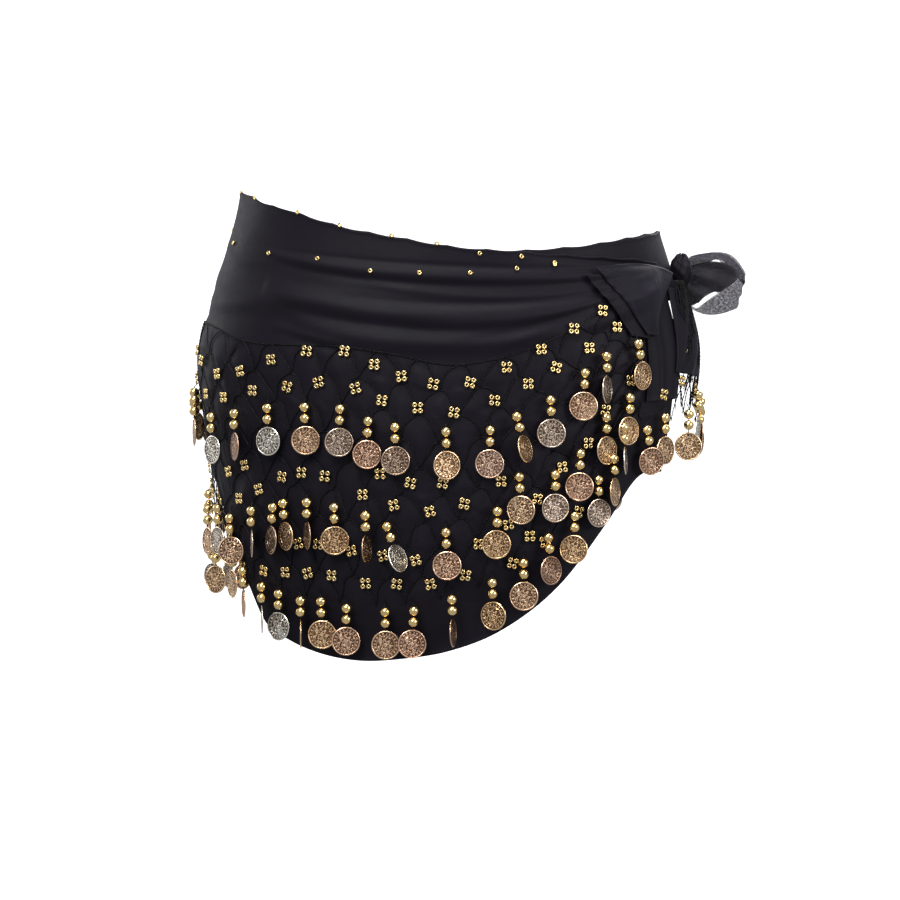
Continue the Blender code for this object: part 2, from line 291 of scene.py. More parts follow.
# Pieces of the tie on the front stretch, as corners in degrees and mm: two along the top, from left
# to right, then two along the bottom.
TIE_UNDER = ((51.5, -50), (65.5, -50), (51.5, -133), (65.5, -131))
TIE_FOLD = ((34.5, -47), (44.0, -46), (45.5, -88), (52.0, -90))
TIE_FLAP = ((37.5, -42), (71.0, -45), (50.0, -87), (54.5, -88))
TIE_TAIL = ((66.0, -55), (86.0, -57), (62.5, -113), (82.0, -117))

# How full the smooth flap stands at its middle.
FLAP_PUFF = 4 * MM

# The knot: its place, how far it is tucked in towards the body's middle, and its height over its width.
KNOT_TURN = 84.0
KNOT_HEIGHT = -43 * MM
KNOT_RADIUS = 10 * MM
KNOT_STAND = 15 * MM
KNOT_TUCK = 7 * MM
KNOT_TALL = 1.15

# The bow loop: where it leaves the knot, how it droops, its reach and its spread, and the share of its
# way round that the knot hides at each end.
LOOP_ROOT = (163.5 * MM, 6 * MM, -44 * MM)
LOOP_DROOP = math.radians(16)
LOOP_LENGTH = 44 * MM
LOOP_SPREAD = 13 * MM
LOOP_ENDS = 0.09

# The loop's height: half of it is a sum of three parts, and its upper edge runs at a share of that half.
# The line of the seam above its single lower hem is given by its rise at one reach and its slope. The
# last number is the depth of its upper hem.
LOOP_ROOT_HALF = 11 * MM
LOOP_BELLY_HALF = 12 * MM
LOOP_TIP_HALF = 2 * MM
LOOP_HIGH = 0.97
LOOP_SEAM_REACH = 19 * MM
LOOP_SEAM_RISE = -20 * MM
LOOP_SEAM_SLOPE = 1.3
LOOP_HEM = 7 * MM

# The loop's two slits: where each is widest, half its length, and its width.
LOWER_SLIT = Slit(22 * MM, 7.5 * MM, 5.4 * MM)
UPPER_SLIT = Slit(23 * MM, 4 * MM, 1.8 * MM)

# The nets: where each starts and ends, its cells across and rows down, and whether it is gathered at its
# top. Each half arch has so many points, and a gathered net is drawn together to a share of its width.
FRONT_NET = Patch(LEFT_SEAM, NET_END, 15, 9, False)
BACK_NET = Patch(BACK_EDGE, 360 + LEFT_SEAM, 14, 9, False)
SIDE_NET = Patch(FRONT_EDGE, BACK_EDGE, 6, 5, True)
NET_STEPS = 22
GATHER = 0.3

# The height at which distances round the hips are measured, and the depth of the end under the tie.
GIRTH_HEIGHT = -140 * MM
UNDER_DEPTH = 46 * MM

# The stretches of cloth, with the gap in degrees left at the ends where two of them are sewn together,
# what each lies on and what hangs from it.
SEAM_TURN = 0.05
WRAPS = (
    Wrap("under_wrap", UNDER_START, UNDER_END, (0, 0), UNDER_LAYER, None, [], []),
    Wrap(
        "wrap_back",
        BACK_EDGE,
        360 + LEFT_SEAM,
        (0, -SEAM_TURN),
        WRAP_LAYER,
        BACK_NET,
        ["under_wrap"],
        ["net_back_thread", "net_side_thread"],
    ),
    Wrap(
        "wrap_front",
        LEFT_SEAM,
        FRONT_EDGE,
        (SEAM_TURN, 0),
        WRAP_LAYER,
        FRONT_NET,
        ["under_wrap"],
        ["net_front_thread"],
    ),
)

# The loose cords under the knot: their number, the turns between which they start and end, the height
# that they start from and how far down in mm each may hang.
STRANDS = 44
STRAND_STARTS = (70, 84)
STRAND_ENDS = (66, 85)
STRAND_TOP = -50 * MM
STRAND_DROPS = (54, 78)

# A coin drop: how far its beads and its thread's top are above the coin's centre, the thread's radius, how
# far the coin stands out from the net at least, and the gap it keeps from the cloth's folds.
BEAD_RISES = (14.7 * MM, 22.2 * MM)
DROP_TOP = 26 * MM
DROP_THREAD = 0.35 * MM
DROP_STAND = 5.5 * MM
DROP_GAP = 1.2 * MM

# Single beads round the back: their pitch, and how far below the top edge both rows lie, in mm.
TOP_PITCH = 30 * MM
TOP_DROP = 2.4
LINE_DROP = 24

# Clusters: how far they stand out from the net, and round the back the tier that each row hangs above,
# its rise in mm and its shift in degrees.
CLUSTER_LIFT = 0.6 * MM
CLUSTER_RISES = (
    ("upper", 54, 0),
    ("upper", 37, 4),
    ("middle", 52, 2),
    ("middle", 36, 6),
    ("lower", 55, 0),
    ("lower", 38, 4),
)

# Yarn and finishes. A coin's tone runs from antique gold through rose to pale and then dark, and the
# patina lies in its hollows.
YARN_PITCH = 0.9 * MM
PLY_PITCH = 1.6 * MM
COIN_TONES = (
    (0.0, (0.98, 0.64, 0.33)),
    (0.3, (1.0, 0.71, 0.44)),
    (0.55, (0.98, 0.63, 0.43)),
    (0.8, (1.0, 0.96, 0.84)),
    (1.0, (0.66, 0.44, 0.30)),
)
PATINA = (0.085, 0.045, 0.03)

# The floor, the sky, the camera and the lamps, which give a place, a width and a power each.
FLOOR_LEVEL = -0.95
FLOOR_RADIUS = 3.2
FLOOR_CURVE = 1.4
FLOOR_UPRIGHT = 1.2
SKY_COLOUR = (0.94, 0.95, 1.0, 1.0)
SKY_STRENGTH = 0.42
CAMERA_AIM = (0.002, 0.0, -0.168)
CAMERA_LENS = 135.0
CAMERA_DISTANCE = 0.63 * CAMERA_LENS / 36
CAMERA_RISE = math.radians(2.0)
LAMPS = (
    Lamp("key", (-1.2, -2.8, 2.3), 1.9, 104.0),
    Lamp("fill", (2.6, -1.8, 0.7), 1.4, 40.0),
    Lamp("rim", (-2.4, 1.8, 0.6), 1.6, 16.0),
    Lamp("back", (1.6, 2.4, 1.8), 1.6, 50.0),
    Lamp("top", (0.2, -0.6, 2.9), 1.4, 55.0),
)


# ---------------------------------------------------------------------------------------------------
# The form
# ---------------------------------------------------------------------------------------------------


def smooth_curve(rows, column, at):
    """Reads a table's column as cubic pieces whose slopes are the mean of their neighbours'."""
    knots = np.array([row[0] for row in rows], float)
    values = np.array([getattr(row, column) for row in rows], float)
    slopes = np.gradient(values, knots)
    at = np.clip(at, knots[0], knots[-1])
    index = np.clip(np.searchsorted(knots, at, side="right") - 1, 0, len(knots) - 2)
    span = knots[index + 1] - knots[index]
    part = (at - knots[index]) / span
    return (
        (2 * part**3 - 3 * part**2 + 1) * values[index]
        + (part**3 - 2 * part**2 + part) * span * slopes[index]
        + (3 * part**2 - 2 * part**3) * values[index + 1]
        + (part**3 - part**2) * span * slopes[index + 1]
    )


def joined(*parts):
    """Arrays of coordinates, stretched to one shape, as an array of points."""
    return np.stack(np.broadcast_arrays(*parts), axis=-1)


def half_turn(turns):
    """The same turns, between -180 and 180."""
    return (np.asarray(turns, float) + 180) % 360 - 180


def edge(name, turns):
    """Height of one of the scarf's edge lines at these turns."""
    return smooth_curve(EDGES, name, half_turn(turns)) * MM


def tier(name, turns):
    """Height of one tier's coin centres at these turns."""
    return smooth_curve(TIERS, name, half_turn(turns)) * MM


def front_top(turns):
    """The front stretch's top edge: the scarf's own, then a fold line that sinks towards the knot."""
    sink = np.clip((turns - UNDER_START) / (FRONT_EDGE - UNDER_START), 0, 1)
    return edge("top", turns) - FRONT_SINK * np.sqrt(sink) * (0.35 + 0.65 * sink)


def lifted(folds, turns, heights):
    """How far folds lift the cloth: each crest is a parabola through its three places, with a bell-shaped
    section, and it fades towards both its ends."""
    lift = np.zeros(np.broadcast(turns, heights).shape)
    for fold in folds:
        swept = (turns - fold.turn_a) % 360
        middle, end = fold.turn_b - fold.turn_a, fold.turn_c - fold.turn_a
        crest = np.polyfit((0, middle, end), (fold.height_a, fold.height_b, fold.height_c), 2)
        swept = np.minimum(swept, end)
        away = (heights / MM - np.polyval(crest, swept)) / fold.reach
        lift += fold.rise * MM * np.exp(-(away**2)) * np.sqrt(np.sin(np.pi * swept / end).clip(0))
    return lift


def drape(turns, heights):
    """All folds and creases together, and a slow unevenness of a few tenths of a millimetre: two products
    of sines that repeat once round the hips."""
    angle = np.radians(turns)
    level = heights / MM
    waver = np.sin(5 * angle + level / 23) * np.sin(2 * angle - level / 41)
    waver = waver + 0.6 * np.sin(11 * angle - level / 17)
    return lifted(FOLDS + CREASES, turns, heights) + 0.35 * MM * waver


def ring_sizes(heights):
    """Half width, front depth and back depth of the figure at these heights, in metres."""
    return [
        smooth_curve(FIGURE, name, heights / MM) * MM for name in ("half_width", "front_depth", "back_depth")
    ]


def form(turns, heights, out):
    """Points on the figure at these turns and heights, moved out: ellipses with a fuller back."""
    angle = np.radians(turns)
    width, front, back = ring_sizes(heights)
    depth = np.where(np.cos(angle) > 0, front, back)
    return joined((width + out) * np.sin(angle), -(depth + out) * np.cos(angle), heights)


def unit(vectors):
    return vectors / np.linalg.norm(vectors, axis=-1, keepdims=True)


def outward(turns, heights):
    """Unit normals of the form, from small steps round it and down it."""
    step_round = form(turns + 0.5, heights, 0.0) - form(turns - 0.5, heights, 0.0)
    step_down = form(turns, heights - MM, 0.0) - form(turns, heights + MM, 0.0)
    return unit(np.cross(step_down, step_round))


def girth_table():
    """Turns, and how far round the hips each lies from the front centre, in metres."""
    turns = np.linspace(-180, 360, 2161)
    points = form(turns, np.full(turns.shape, GIRTH_HEIGHT), NET_LAYER)
    steps = np.linalg.norm(np.diff(points, axis=0), axis=1)
    reach = np.concatenate(([0.0], np.cumsum(steps)))
    return turns, reach - np.interp(0.0, turns, reach)


GIRTH_TURNS, GIRTH_REACH = girth_table()


def reach_at(turns):
    return np.interp(turns, GIRTH_TURNS, GIRTH_REACH)


def turn_at(reach):
    return np.interp(reach, GIRTH_REACH, GIRTH_TURNS)


def cut_size(turns, upper, lower):
    """Width, greatest depth and area of a stretch's flat cut, from its edges' heights at these turns."""
    across, depth = reach_at(turns), upper - lower
    area = float(np.sum((depth[1:] + depth[:-1]) / 2 * np.diff(across)))
    return float(across[-1] - across[0]), float(depth.max()), area


# ---------------------------------------------------------------------------------------------------
# The net's pattern
# ---------------------------------------------------------------------------------------------------


def net_span(patch):
    """The patch's start and the width of its cells, as distances round the hips."""
    start, end = reach_at(patch.start), reach_at(patch.end)
    return start, (end - start) / patch.cells


def net_edges(patch, turns):
    upper = SIDE_NET_TOP + 0 * turns if patch.gathered else edge("band", turns)
    return upper, edge("net_hem", turns)


def net_waver(across, down):
    """How far the net's knots stray sideways, in cells, because it is worked by hand."""
    return 0.05 * np.sin(2.3 * across + 1.1 * down) + 0.04 * np.sin(5.1 * down - 1.7 * across)


def net_place(patch, across, down):
    """Turn and height of a place on the net, given in cells across and rows down. A gathered net is drawn
    together towards the knot at its top."""
    start, cell = net_span(patch)
    turns = turn_at(start + cell * (across + net_waver(across, down)))
    upper, lower = net_edges(patch, turns)
    heights = upper + (lower - upper) * down / patch.rows
    if patch.gathered:
        share = np.clip(down / (0.75 * patch.rows), 0, 1)
        turns = KNOT_TURN + (turns - KNOT_TURN) * (GATHER + (1 - GATHER) * share * (2 - share))
    return turns, heights


def cell_puff(patch, turns, heights):
    """How full the cloth stands behind the net, from 0 along its threads to 1 at the middle of a cell.
    Threads of even and odd rows are two families of arches, each a parabola for every cell, so each factor
    is a sine that is zero along one family."""
    start, cell = net_span(patch)
    upper, lower = net_edges(patch, turns)
    across = (reach_at(turns) - start) / cell
    down = (upper - heights) / (upper - lower) * patch.rows
    across = across - net_waver(across, down)
    even = across - np.round(across)
    odd = across - 0.5 - np.round(across - 0.5)
    puff = np.abs(np.sin(np.pi / 2 * (down - 4 * even**2)) * np.cos(np.pi / 2 * (down - 4 * odd**2)))
    inside = np.clip(2.5 * down, 0, 1) * np.clip(patch.rows + 0.5 - down, 0, 1)
    inside = inside * (turns >= patch.start) * (turns <= patch.end)
    uneven = 0.75 + 0.25 * np.sin(3.7 * np.floor(across + 0.5) + 2.3 * np.floor(down))
    return puff**0.7 * inside * uneven


# ---------------------------------------------------------------------------------------------------
# Meshes
# ---------------------------------------------------------------------------------------------------


def add_piece(name, lots, finishes, replaced):
    """A mesh object that rides with the scarf, from lots of points and faces, each with its own finish. A
    lot gives every point a place on the pattern and a tone."""
    points, faces, places, tones, worn, first = [], [], [], [], [], 0
    for lot in lots:
        for group in lot.faces:
            faces += (group + first).tolist()
            worn.append(np.full(len(group), lot.finish))
        points.append(lot.points)
        places.append(lot.places)
        tones.append(np.broadcast_to(lot.tones, len(lot.points)))
        first += len(lot.points)
    mesh = bpy.data.meshes.new(name)
    mesh.from_pydata(np.vstack(points).tolist(), [], faces)
    for finish in finishes:
        mesh.materials.append(finish)
    mesh.polygons.foreach_set("material_index", np.concatenate(worn).astype(np.int32))
    corners = np.empty(len(mesh.loops), np.int32)
    mesh.loops.foreach_get("vertex_index", corners)
    layer = mesh.uv_layers.new(name="pattern")
    layer.data.foreach_set("uv", np.vstack(places)[corners].astype(np.float32).ravel())
    tone = mesh.attributes.new("tone", "FLOAT", "POINT")
    tone.data.foreach_set("value", np.concatenate(tones).astype(np.float32))
    mesh.shade_smooth()
    mesh.update()
    made = bpy.data.objects.new(name, mesh)
    bpy.context.scene.collection.objects.link(made)
    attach(made, BODY)
    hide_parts(*replaced)
    return made


def grid_faces(rows, cols, closed_rows=False, closed_cols=False):
    """Quads of a grid whose rows run down and whose columns run to the right, seen from outside."""
    index = np.arange(rows * cols).reshape(rows, cols)
    if closed_rows:
        index = np.vstack((index, index[:1]))
    if closed_cols:
        index = np.hstack((index, index[:, :1]))
    return np.stack((index[:-1, :-1], index[1:, :-1], index[1:, 1:], index[:-1, 1:]), axis=-1).reshape(-1, 4)


def grid_lot(points, places, tones=0.0):
    """A grid of points as one lot, facing out."""
    rows, cols = points.shape[:2]
    spread = np.broadcast_to(tones, (rows, cols)).ravel()
    return Lot(points.reshape(-1, 3), [grid_faces(rows, cols)], places.reshape(-1, 2), spread, 0)


def add_wall(made, thickness):
    """Gives a sheet its thickness, inwards from the face that shows."""
    wall = made.modifiers.new("wall", "SOLIDIFY")
    wall.thickness = thickness
    wall.offset = -1.0
    wall.use_rim = True


def scattered(shape, origins, frames, tones=0.0, finish=0):
    """Copies one shape to many places as one lot: each copy's points are its frame times the shape's."""
    points, faces, places = shape
    moved = origins[:, None, :] + np.einsum("nij,vj->nvi", frames, points)
    first = (np.arange(len(origins)) * len(points))[:, None, None]
    groups = [(group[None] + first).reshape(-1, group.shape[1]) for group in faces]
    spread = np.repeat(np.broadcast_to(tones, len(origins)), len(points))
    return Lot(moved.reshape(-1, 3), groups, np.tile(places, (len(origins), 1)), spread, finish)


def pole_faces(rings, sides):
    """Triangles that close a stack of rings, with a pole for each end that follows the rings' points."""
    around = np.arange(sides)
    after = np.roll(around, -1)
    pole, last = rings * sides, (rings - 1) * sides
    return np.vstack((joined(pole, around, after), joined(pole + 1, last + after, last + around)))


def turned(profile, sides):
    """A closed turned shape about its own Y axis, from (radius, along) pairs that run from the low pole to
    the high one. Its places on the pattern are those of a flat picture of it, 0 to 1 across."""
    profile = np.array(profile, float)
    ring = profile[1:-1]
    angle = 2 * np.pi * np.arange(sides) / sides
    body = joined(ring[:, :1] * np.cos(angle), ring[:, 1:], ring[:, :1] * np.sin(angle))
    points = np.vstack((body.reshape(-1, 3), [(0, profile[0, 1], 0), (0, profile[-1, 1], 0)]))
    places = points[:, (0, 2)] / (2 * profile[:, 0].max()) + 0.5
    return points, (grid_faces(len(ring), sides, closed_cols=True), pole_faces(len(ring), sides)), places


def doughnut(ring_radius, tube_radius, sides, tube_sides):
    """A bead with a hole along its own Y axis: a ring swept by a circle."""
    around = 2 * np.pi * np.arange(sides) / sides
    tube = 2 * np.pi * np.arange(tube_sides)[:, None] / tube_sides
    radius = ring_radius + tube_radius * np.cos(tube)
    points = joined(radius * np.cos(around), tube_radius * np.sin(tube), radius * np.sin(around))
    points = points.reshape(-1, 3)
    faces = grid_faces(tube_sides, sides, closed_rows=True, closed_cols=True)
    return points, (faces,), points[:, (0, 2)] / (2 * (ring_radius + tube_radius)) + 0.5


def run_along(paths):
    """How far along its path each point of many paths lies."""
    step = np.linalg.norm(np.diff(paths, axis=1), axis=2)
    return np.concatenate((np.zeros((len(paths), 1)), np.cumsum(step, axis=1)), axis=1)


def thread_lot(paths, normals, radius, sides=4, finish=0):
    """Round threads along many paths of equal length: each ring stands square to its path. The second
    place on the pattern is the distance along, in metres."""
    count, length = paths.shape[:2]
    along = unit(np.gradient(paths, axis=1))
    across = unit(np.cross(along, normals))
    upright = np.cross(across, along)
    angle = 2 * np.pi * np.arange(sides) / sides
    rings = (
        paths[:, :, None]
        + radius * np.cos(angle)[:, None] * across[:, :, None]
        + radius * np.sin(angle)[:, None] * upright[:, :, None]
    )
    index = np.arange(count * length * sides).reshape(count, length, sides)
    beside = np.roll(index, -1, axis=2)
    quads = np.stack((index[:, :-1], beside[:, :-1], beside[:, 1:], index[:, 1:]), axis=-1).reshape(-1, 4)
    caps = np.vstack((index[:, 0, ::-1], index[:, -1]))
    places = joined(np.arange(sides) / sides, run_along(paths)[:, :, None])
    return Lot(rings.reshape(-1, 3), [quads, caps], places.reshape(-1, 2), 0.0, finish)


def twisted_lot(paths, normals, radius, lay):
    """Two threads laid round each other along each path, one turn for every lay of length."""
    along = unit(np.gradient(paths, axis=1))
    across = unit(np.cross(along, normals))
    turn = (2 * np.pi * run_along(paths) / lay)[..., None]
    offset = radius * 0.95 * (np.cos(turn) * across + np.sin(turn) * normals)
    both = np.concatenate((paths + offset, paths - offset))
    return thread_lot(both, np.concatenate((normals, normals)), radius)


def hanging_frames(facing, leaning, tangent):
    """Frames for things that hang: Y points the way each faces, Z up its thread, and X to its right hand.
    The thread leans sideways in the cloth's plane."""
    face, lean = np.radians(facing)[:, None], np.radians(leaning)[:, None]
    level = np.array([0.0, 0.0, 1.0])
    up = np.cos(lean) * level - np.sin(lean) * tangent
    out = np.hstack((np.sin(face), -np.cos(face), 0 * face))
    out = unit(out - np.sum(out * up, axis=1, keepdims=True) * up)
    return np.stack((np.cross(out, up), out, up), axis=-1)


def lying_frames(turns, heights, spin):
    """Frames for things that lie on the form: Y points out, and X and Z are turned by the spin."""
    out = outward(turns, heights)
    side = unit(np.cross(out, np.broadcast_to((0.0, 0.0, 1.0), out.shape)))
    up = np.cross(side, out)
    angle = np.radians(spin)[:, None]
    return np.stack(
        (side * np.cos(angle) + up * np.sin(angle), out, up * np.cos(angle) - side * np.sin(angle)), axis=-1
    )


def eased(count, ends=0.3):
    """Numbers from 0 to 1 that lie closer together near both ends."""
    even = np.linspace(0, 1, count + 1)
    return (1 - ends) * even + ends * (1 - np.cos(np.pi * even)) / 2


# ---------------------------------------------------------------------------------------------------
# Finishes
# ---------------------------------------------------------------------------------------------------


class Signal:
    """A socket in a finish's node tree. Arithmetic on signals adds Math nodes."""

    def __init__(self, finish, socket):
        self.finish = finish
        self.socket = socket

    def math(self, operation, *values):
        return self.finish.node("ShaderNodeMath", {"operation": operation}, dict(enumerate(values)))

    def __add__(self, other):
        return self.math("ADD", self, other)

    __radd__ = __add__

    def __sub__(self, other):
        return self.math("SUBTRACT", self, other)

    def __rsub__(self, other):
        return self.math("SUBTRACT", other, self)

    def __mul__(self, other):
        return self.math("MULTIPLY", self, other)

    __rmul__ = __mul__

    def __pow__(self, other):
        return self.math("POWER", self, other)

    def __abs__(self):
        return self.math("ABSOLUTE", self)

    def larger(self, other):
        return self.math("MAXIMUM", self, other)

    def sine(self):
        return self.math("SINE", self)

    def between(self, low, high):
        """0 below low, 1 above high, and a smooth rise between them."""
        return self.finish.node(
            "ShaderNodeMapRange", {"interpolation_type": "SMOOTHSTEP"}, {0: self, 1: low, 2: high}
        )


class Finish:
    """A material in the making: its node tree, its shader and the one way in which nodes are added. The
    values given are the shader's own, the same all over."""

    def __init__(self, name, **constants):
        self.material = bpy.data.materials.new(name)
        self.material.use_nodes = True
        self.tree = self.material.node_tree
        self.shader = self.tree.nodes["Principled BSDF"]
        for key, value in constants.items():
            self.shader.inputs[key.replace("_", " ").title().replace("Ior", "IOR")].default_value = value

    def node(self, kind, settings=None, inputs=None, output=0):
        """Adds a node, applies its settings, fills its inputs with values or signals, and gives an output."""
        made = self.tree.nodes.new(kind)
        for key, value in (settings or {}).items():
            if key == "stops":
                ramp = made.color_ramp.elements
                while len(ramp) < len(value):
                    ramp.new(0.5)
                for element, (position, colour) in zip(ramp, value):
                    element.position = position
                    element.color = (*colour, 1.0)
            else:
                setattr(made, key, value)
        for key, value in (inputs or {}).items():
            if isinstance(value, Signal):
                self.tree.links.new(value.socket, made.inputs[key])
            else:
                made.inputs[key].default_value = value
        return Signal(self, made.outputs[output])

    def feed(self, **signals):
        for key, signal in signals.items():
            self.tree.links.new(signal.socket, self.shader.inputs[key.replace("_", " ").title()])

    def pattern(self):
        """The piece's own places on the pattern: across and down, or across and along."""
        uv = self.node("ShaderNodeUVMap", {"uv_map": "pattern"})
        split = self.node("ShaderNodeSeparateXYZ", {}, {0: uv})
        return uv, split, Signal(self, split.socket.node.outputs[1])

    def place(self):
        """Where each point is, in metres."""
        return self.node("ShaderNodeTexCoord", output=3)

    def tone(self):
        """The number that each point carries."""
        return self.node("ShaderNodeAttribute", {"attribute_name": "tone"}, output=2)

    def mixed(self, share, first, second, blend="MIX"):
        """A colour between two others, or one times a share of the other."""
        return self.node(
            "ShaderNodeMix",
            {"data_type": "RGBA", "blend_type": blend},
            {0: share, 6: colour_value(first), 7: colour_value(second)},
            output=2,
        )

    def noise(self, vector, scale, detail=2.0, roughness=0.5):
        return self.node(
            "ShaderNodeTexNoise",
            {},
            {"Vector": vector, "Scale": scale, "Detail": detail, "Roughness": roughness},
        )

    def bump(self, height, strength, distance):
        return self.node(
            "ShaderNodeBump", {}, {"Height": height, "Strength": strength, "Distance": distance}
        )


def colour_value(colour):
    return colour if isinstance(colour, Signal) else (*colour, 1.0)


def chiffon_finish(name, colour, bloom, crinkle):
    """Crepe chiffon: a fine plain weave of twisted yarn, so two crossed waves and a grain, over soft
    crinkles a few millimetres long."""
    made = Finish(
        name,
        specular_ior_level=0.13,
        sheen_weight=0.085,
        sheen_roughness=0.28,
        sheen_tint=(*bloom, 1.0),
    )
    uv, across, down = made.pattern()
    yarn = 2 * math.pi / YARN_PITCH
    weave = (across * yarn).sine() * (down * yarn).sine()
    stretched = made.node("ShaderNodeVectorMath", {"operation": "MULTIPLY"}, {0: uv, 1: (0.45, 1.0, 1.0)})
    grain = made.noise(uv, 1400.0)
    soft = made.noise(stretched, 210.0, 3.0, 0.55)
    slow = made.noise(uv, 26.0, 2.0)
    height = weave * 0.16 + grain * 0.3 + soft * crinkle
    dark = tuple(0.72 * part for part in colour)
    pale = tuple(1.35 * part for part in colour)
    tint = made.mixed((slow * 0.6 + grain * 0.25 + weave * 0.12 + 0.1).between(0.1, 0.9), dark, pale)
    made.feed(
        base_color=tint,
        roughness=0.4 + grain * 0.14 + soft * 0.12,
        normal=made.bump(height, 0.3, 0.5 * MM),
    )
    return made


def sheer_finish(name, colour, bloom):
    """One layer of the same chiffon held up to the light: gaps between the yarns let it through, most of all
    where its tone is high, where it lies as one layer and at the loop's tip. There the same tone also mixes
    the base colour paler, a painted sheen and glow of light coming through."""
    made = chiffon_finish(name, colour, bloom, 1.1)
    grain = made.noise(made.pattern()[0], 750.0, 2.0, 0.7).between(0.32, 0.68)
    single_layer_and_sheen = made.tone()
    # Painted sheen: where the tone is high, the base colour is mixed towards a colour six times paler.
    pale = tuple(6.0 * part for part in colour)
    made.feed(
        base_color=made.mixed(single_layer_and_sheen * (0.35 + grain * 0.65), colour, pale),
        alpha=0.74 - grain * 0.2 * (0.5 + single_layer_and_sheen) - single_layer_and_sheen * 0.14,
    )
    return made


def thread_finish(name, colour):
    """Twisted thread: slanting plies as a wave that climbs as it goes round."""
    made = Finish(name, specular_ior_level=0.2)
    uv, around, along = made.pattern()
    ply = (along * (2 * math.pi / PLY_PITCH) + around * (4 * math.pi)).sine()
    grain = made.noise(uv, 700.0)
    # Partly painted highlight: the base colour turns paler along the ply crests; the grain's share is the
    # yarn's own uneven tone.
    pale = tuple(2.4 * part for part in colour)
    made.feed(
        base_color=made.mixed((ply * 0.3 + grain * 0.8).between(0.1, 1.0), colour, pale),
        roughness=0.34 + grain * 0.16,
        normal=made.bump(ply, 0.5, 0.15 * MM),
    )
    return made


def coin_finish(name, tones):
    """Stamped coin: a raised rim, a ring of dashes, a thin ridge, and inside it worn scrollwork about a
    rosette, with dark polish left in the hollows. The coin's tone picks its colour."""
    made = Finish(name)
    uv, across, up = made.pattern()
    x, y = across * 2.0 - 1.0, up * 2.0 - 1.0
    radius = (x * x + y * y) ** 0.5
    angle = x.math("ARCTAN2", y, x)
    rim = radius.between(0.88, 0.93)
    dashes = (angle * 20.0).sine().between(-0.1, 0.35) * (1.0 - abs(radius - 0.765).between(0.05, 0.085))
    ridge = 1.0 - abs(radius - 0.635).between(0.012, 0.036)
    petal = 1.0 - abs(radius - (0.3 + (angle * 6.0).sine() * 0.1)).between(0.015, 0.06)
    bend = made.noise(uv, 4.2, 1.0)
    scroll = (bend * 30.0).sine().between(0.1, 0.7) * (1.0 - radius.between(0.54, 0.6))
    heart = 1.0 - abs(radius - 0.1).between(0.02, 0.06)
    raised = rim.larger(dashes).larger(ridge).larger(petal * 0.9).larger(heart).larger(scroll * 0.85)
    worn = made.noise(made.place(), 130.0, 2.0, 0.6)
    hollow = (1.0 - raised) * (0.2 + worn * 1.1)
    metal = made.node("ShaderNodeValToRGB", {"stops": tones}, {0: made.tone()})
    patina = made.mixed(0.92, metal, PATINA, "MULTIPLY")
    hole = 1.0 - ((x * x + (y - 0.8) ** 2.0) ** 0.5).between(0.06, 0.09)
    stamped = made.mixed(hollow.between(0.25, 0.75), metal, patina)
    made.feed(
        base_color=made.mixed(hole, stamped, (0.01, 0.008, 0.006)),
        roughness=0.17 + hollow * 0.3 + worn * 0.14 + hole * 0.3,
        metallic=1.0 - hole,
        normal=made.bump(raised + worn * 0.25, 0.9, 0.4 * MM),
    )
    return made


def bead_finish(name, colour, shade):
    """Plated bead: bright gold with a slightly duller, redder cast in places."""
    made = Finish(name, metallic=1.0)
    cloud = made.noise(made.place(), 240.0, 3.0, 0.6)
    scratch = made.noise(made.place(), 1500.0, 2.0)
    made.feed(
        base_color=made.mixed(cloud.between(0.35, 0.8), colour, shade),
        roughness=0.12 + cloud * 0.12,
        normal=made.bump(scratch, 0.03, 0.05 * MM),
    )
    return made


def stage_finish():
    """Matt paper with a faint tooth, which glows a little so that it stays pale from every side."""
    made = Finish("pale_paper", roughness=0.9, specular_ior_level=0.1, emission_strength=0.8)
    made.shader.inputs["Emission Color"].default_value = (1.0, 1.0, 1.0, 1.0)
    tooth = made.noise(made.place(), 40.0)
    made.feed(base_color=made.mixed(tooth, (0.86, 0.86, 0.86), (0.9, 0.9, 0.9)))
    return made


def worn_finish(name):
    """The finish of that name, made the first time that a piece asks for it."""
    if name in bpy.data.materials:
        return bpy.data.materials[name]
    looks = bpy.context.scene.scarf_finish
    cloth, bloom = tuple(looks.chiffon), tuple(looks.bloom)
    # Painted light: the tie's flap and the bow loop are the same black chiffon, given a paler colour as a lit
    # copy of it.
    painted_lit_cloth = tuple(looks.flap_painted_light * part for part in cloth)
    recipes = {
        "black_chiffon": lambda: chiffon_finish(name, cloth, bloom, 0.9),
        "flap_chiffon": lambda: chiffon_finish(name, painted_lit_cloth, bloom, 0.6),
        "sheer_chiffon": lambda: sheer_finish(name, painted_lit_cloth, bloom),
        "net_thread": lambda: thread_finish(name, tuple(looks.thread)),
        "stamped_coin": lambda: coin_finish(name, COIN_TONES),
        "gold_bead": lambda: bead_finish(name, tuple(looks.gold), tuple(looks.red_gold)),
    }
    return recipes[name]().material


# ---------------------------------------------------------------------------------------------------
# Settings
# ---------------------------------------------------------------------------------------------------


def length_setting(name, description, default, least=0.0):
    return bpy.props.FloatProperty(
        name=name, description=description, default=default, min=least, unit="LENGTH", precision=5
    )


def colour_setting(name, description, default):
    return bpy.props.FloatVectorProperty(
        name=name, description=description, default=default, size=3, subtype="COLOR", min=0.0, max=1.0
    )


class ScarfCloth(bpy.types.PropertyGroup):
    """Sizes of the cloth and the net."""

    grid_step: length_setting("Grid Step", "Distance between the cloth's grid lines", 2.0 * MM, 0.5 * MM)
    wall: length_setting("Cloth Thickness", "Thickness of one layer of cloth", 0.8 * MM)
    hem_roll: length_setting("Hem Roll", "How far the rolled hems stand out", 0.55 * MM)
    puff: length_setting("Cell Fullness", "How far the cloth fills each cell of the net", 1.6 * MM)
    thread: length_setting("Net Thread", "Radius of one thread of the net", 0.26 * MM)
    lay: length_setting("Thread Twist", "Length of one twist of the net's double thread", 5.5 * MM, MM)


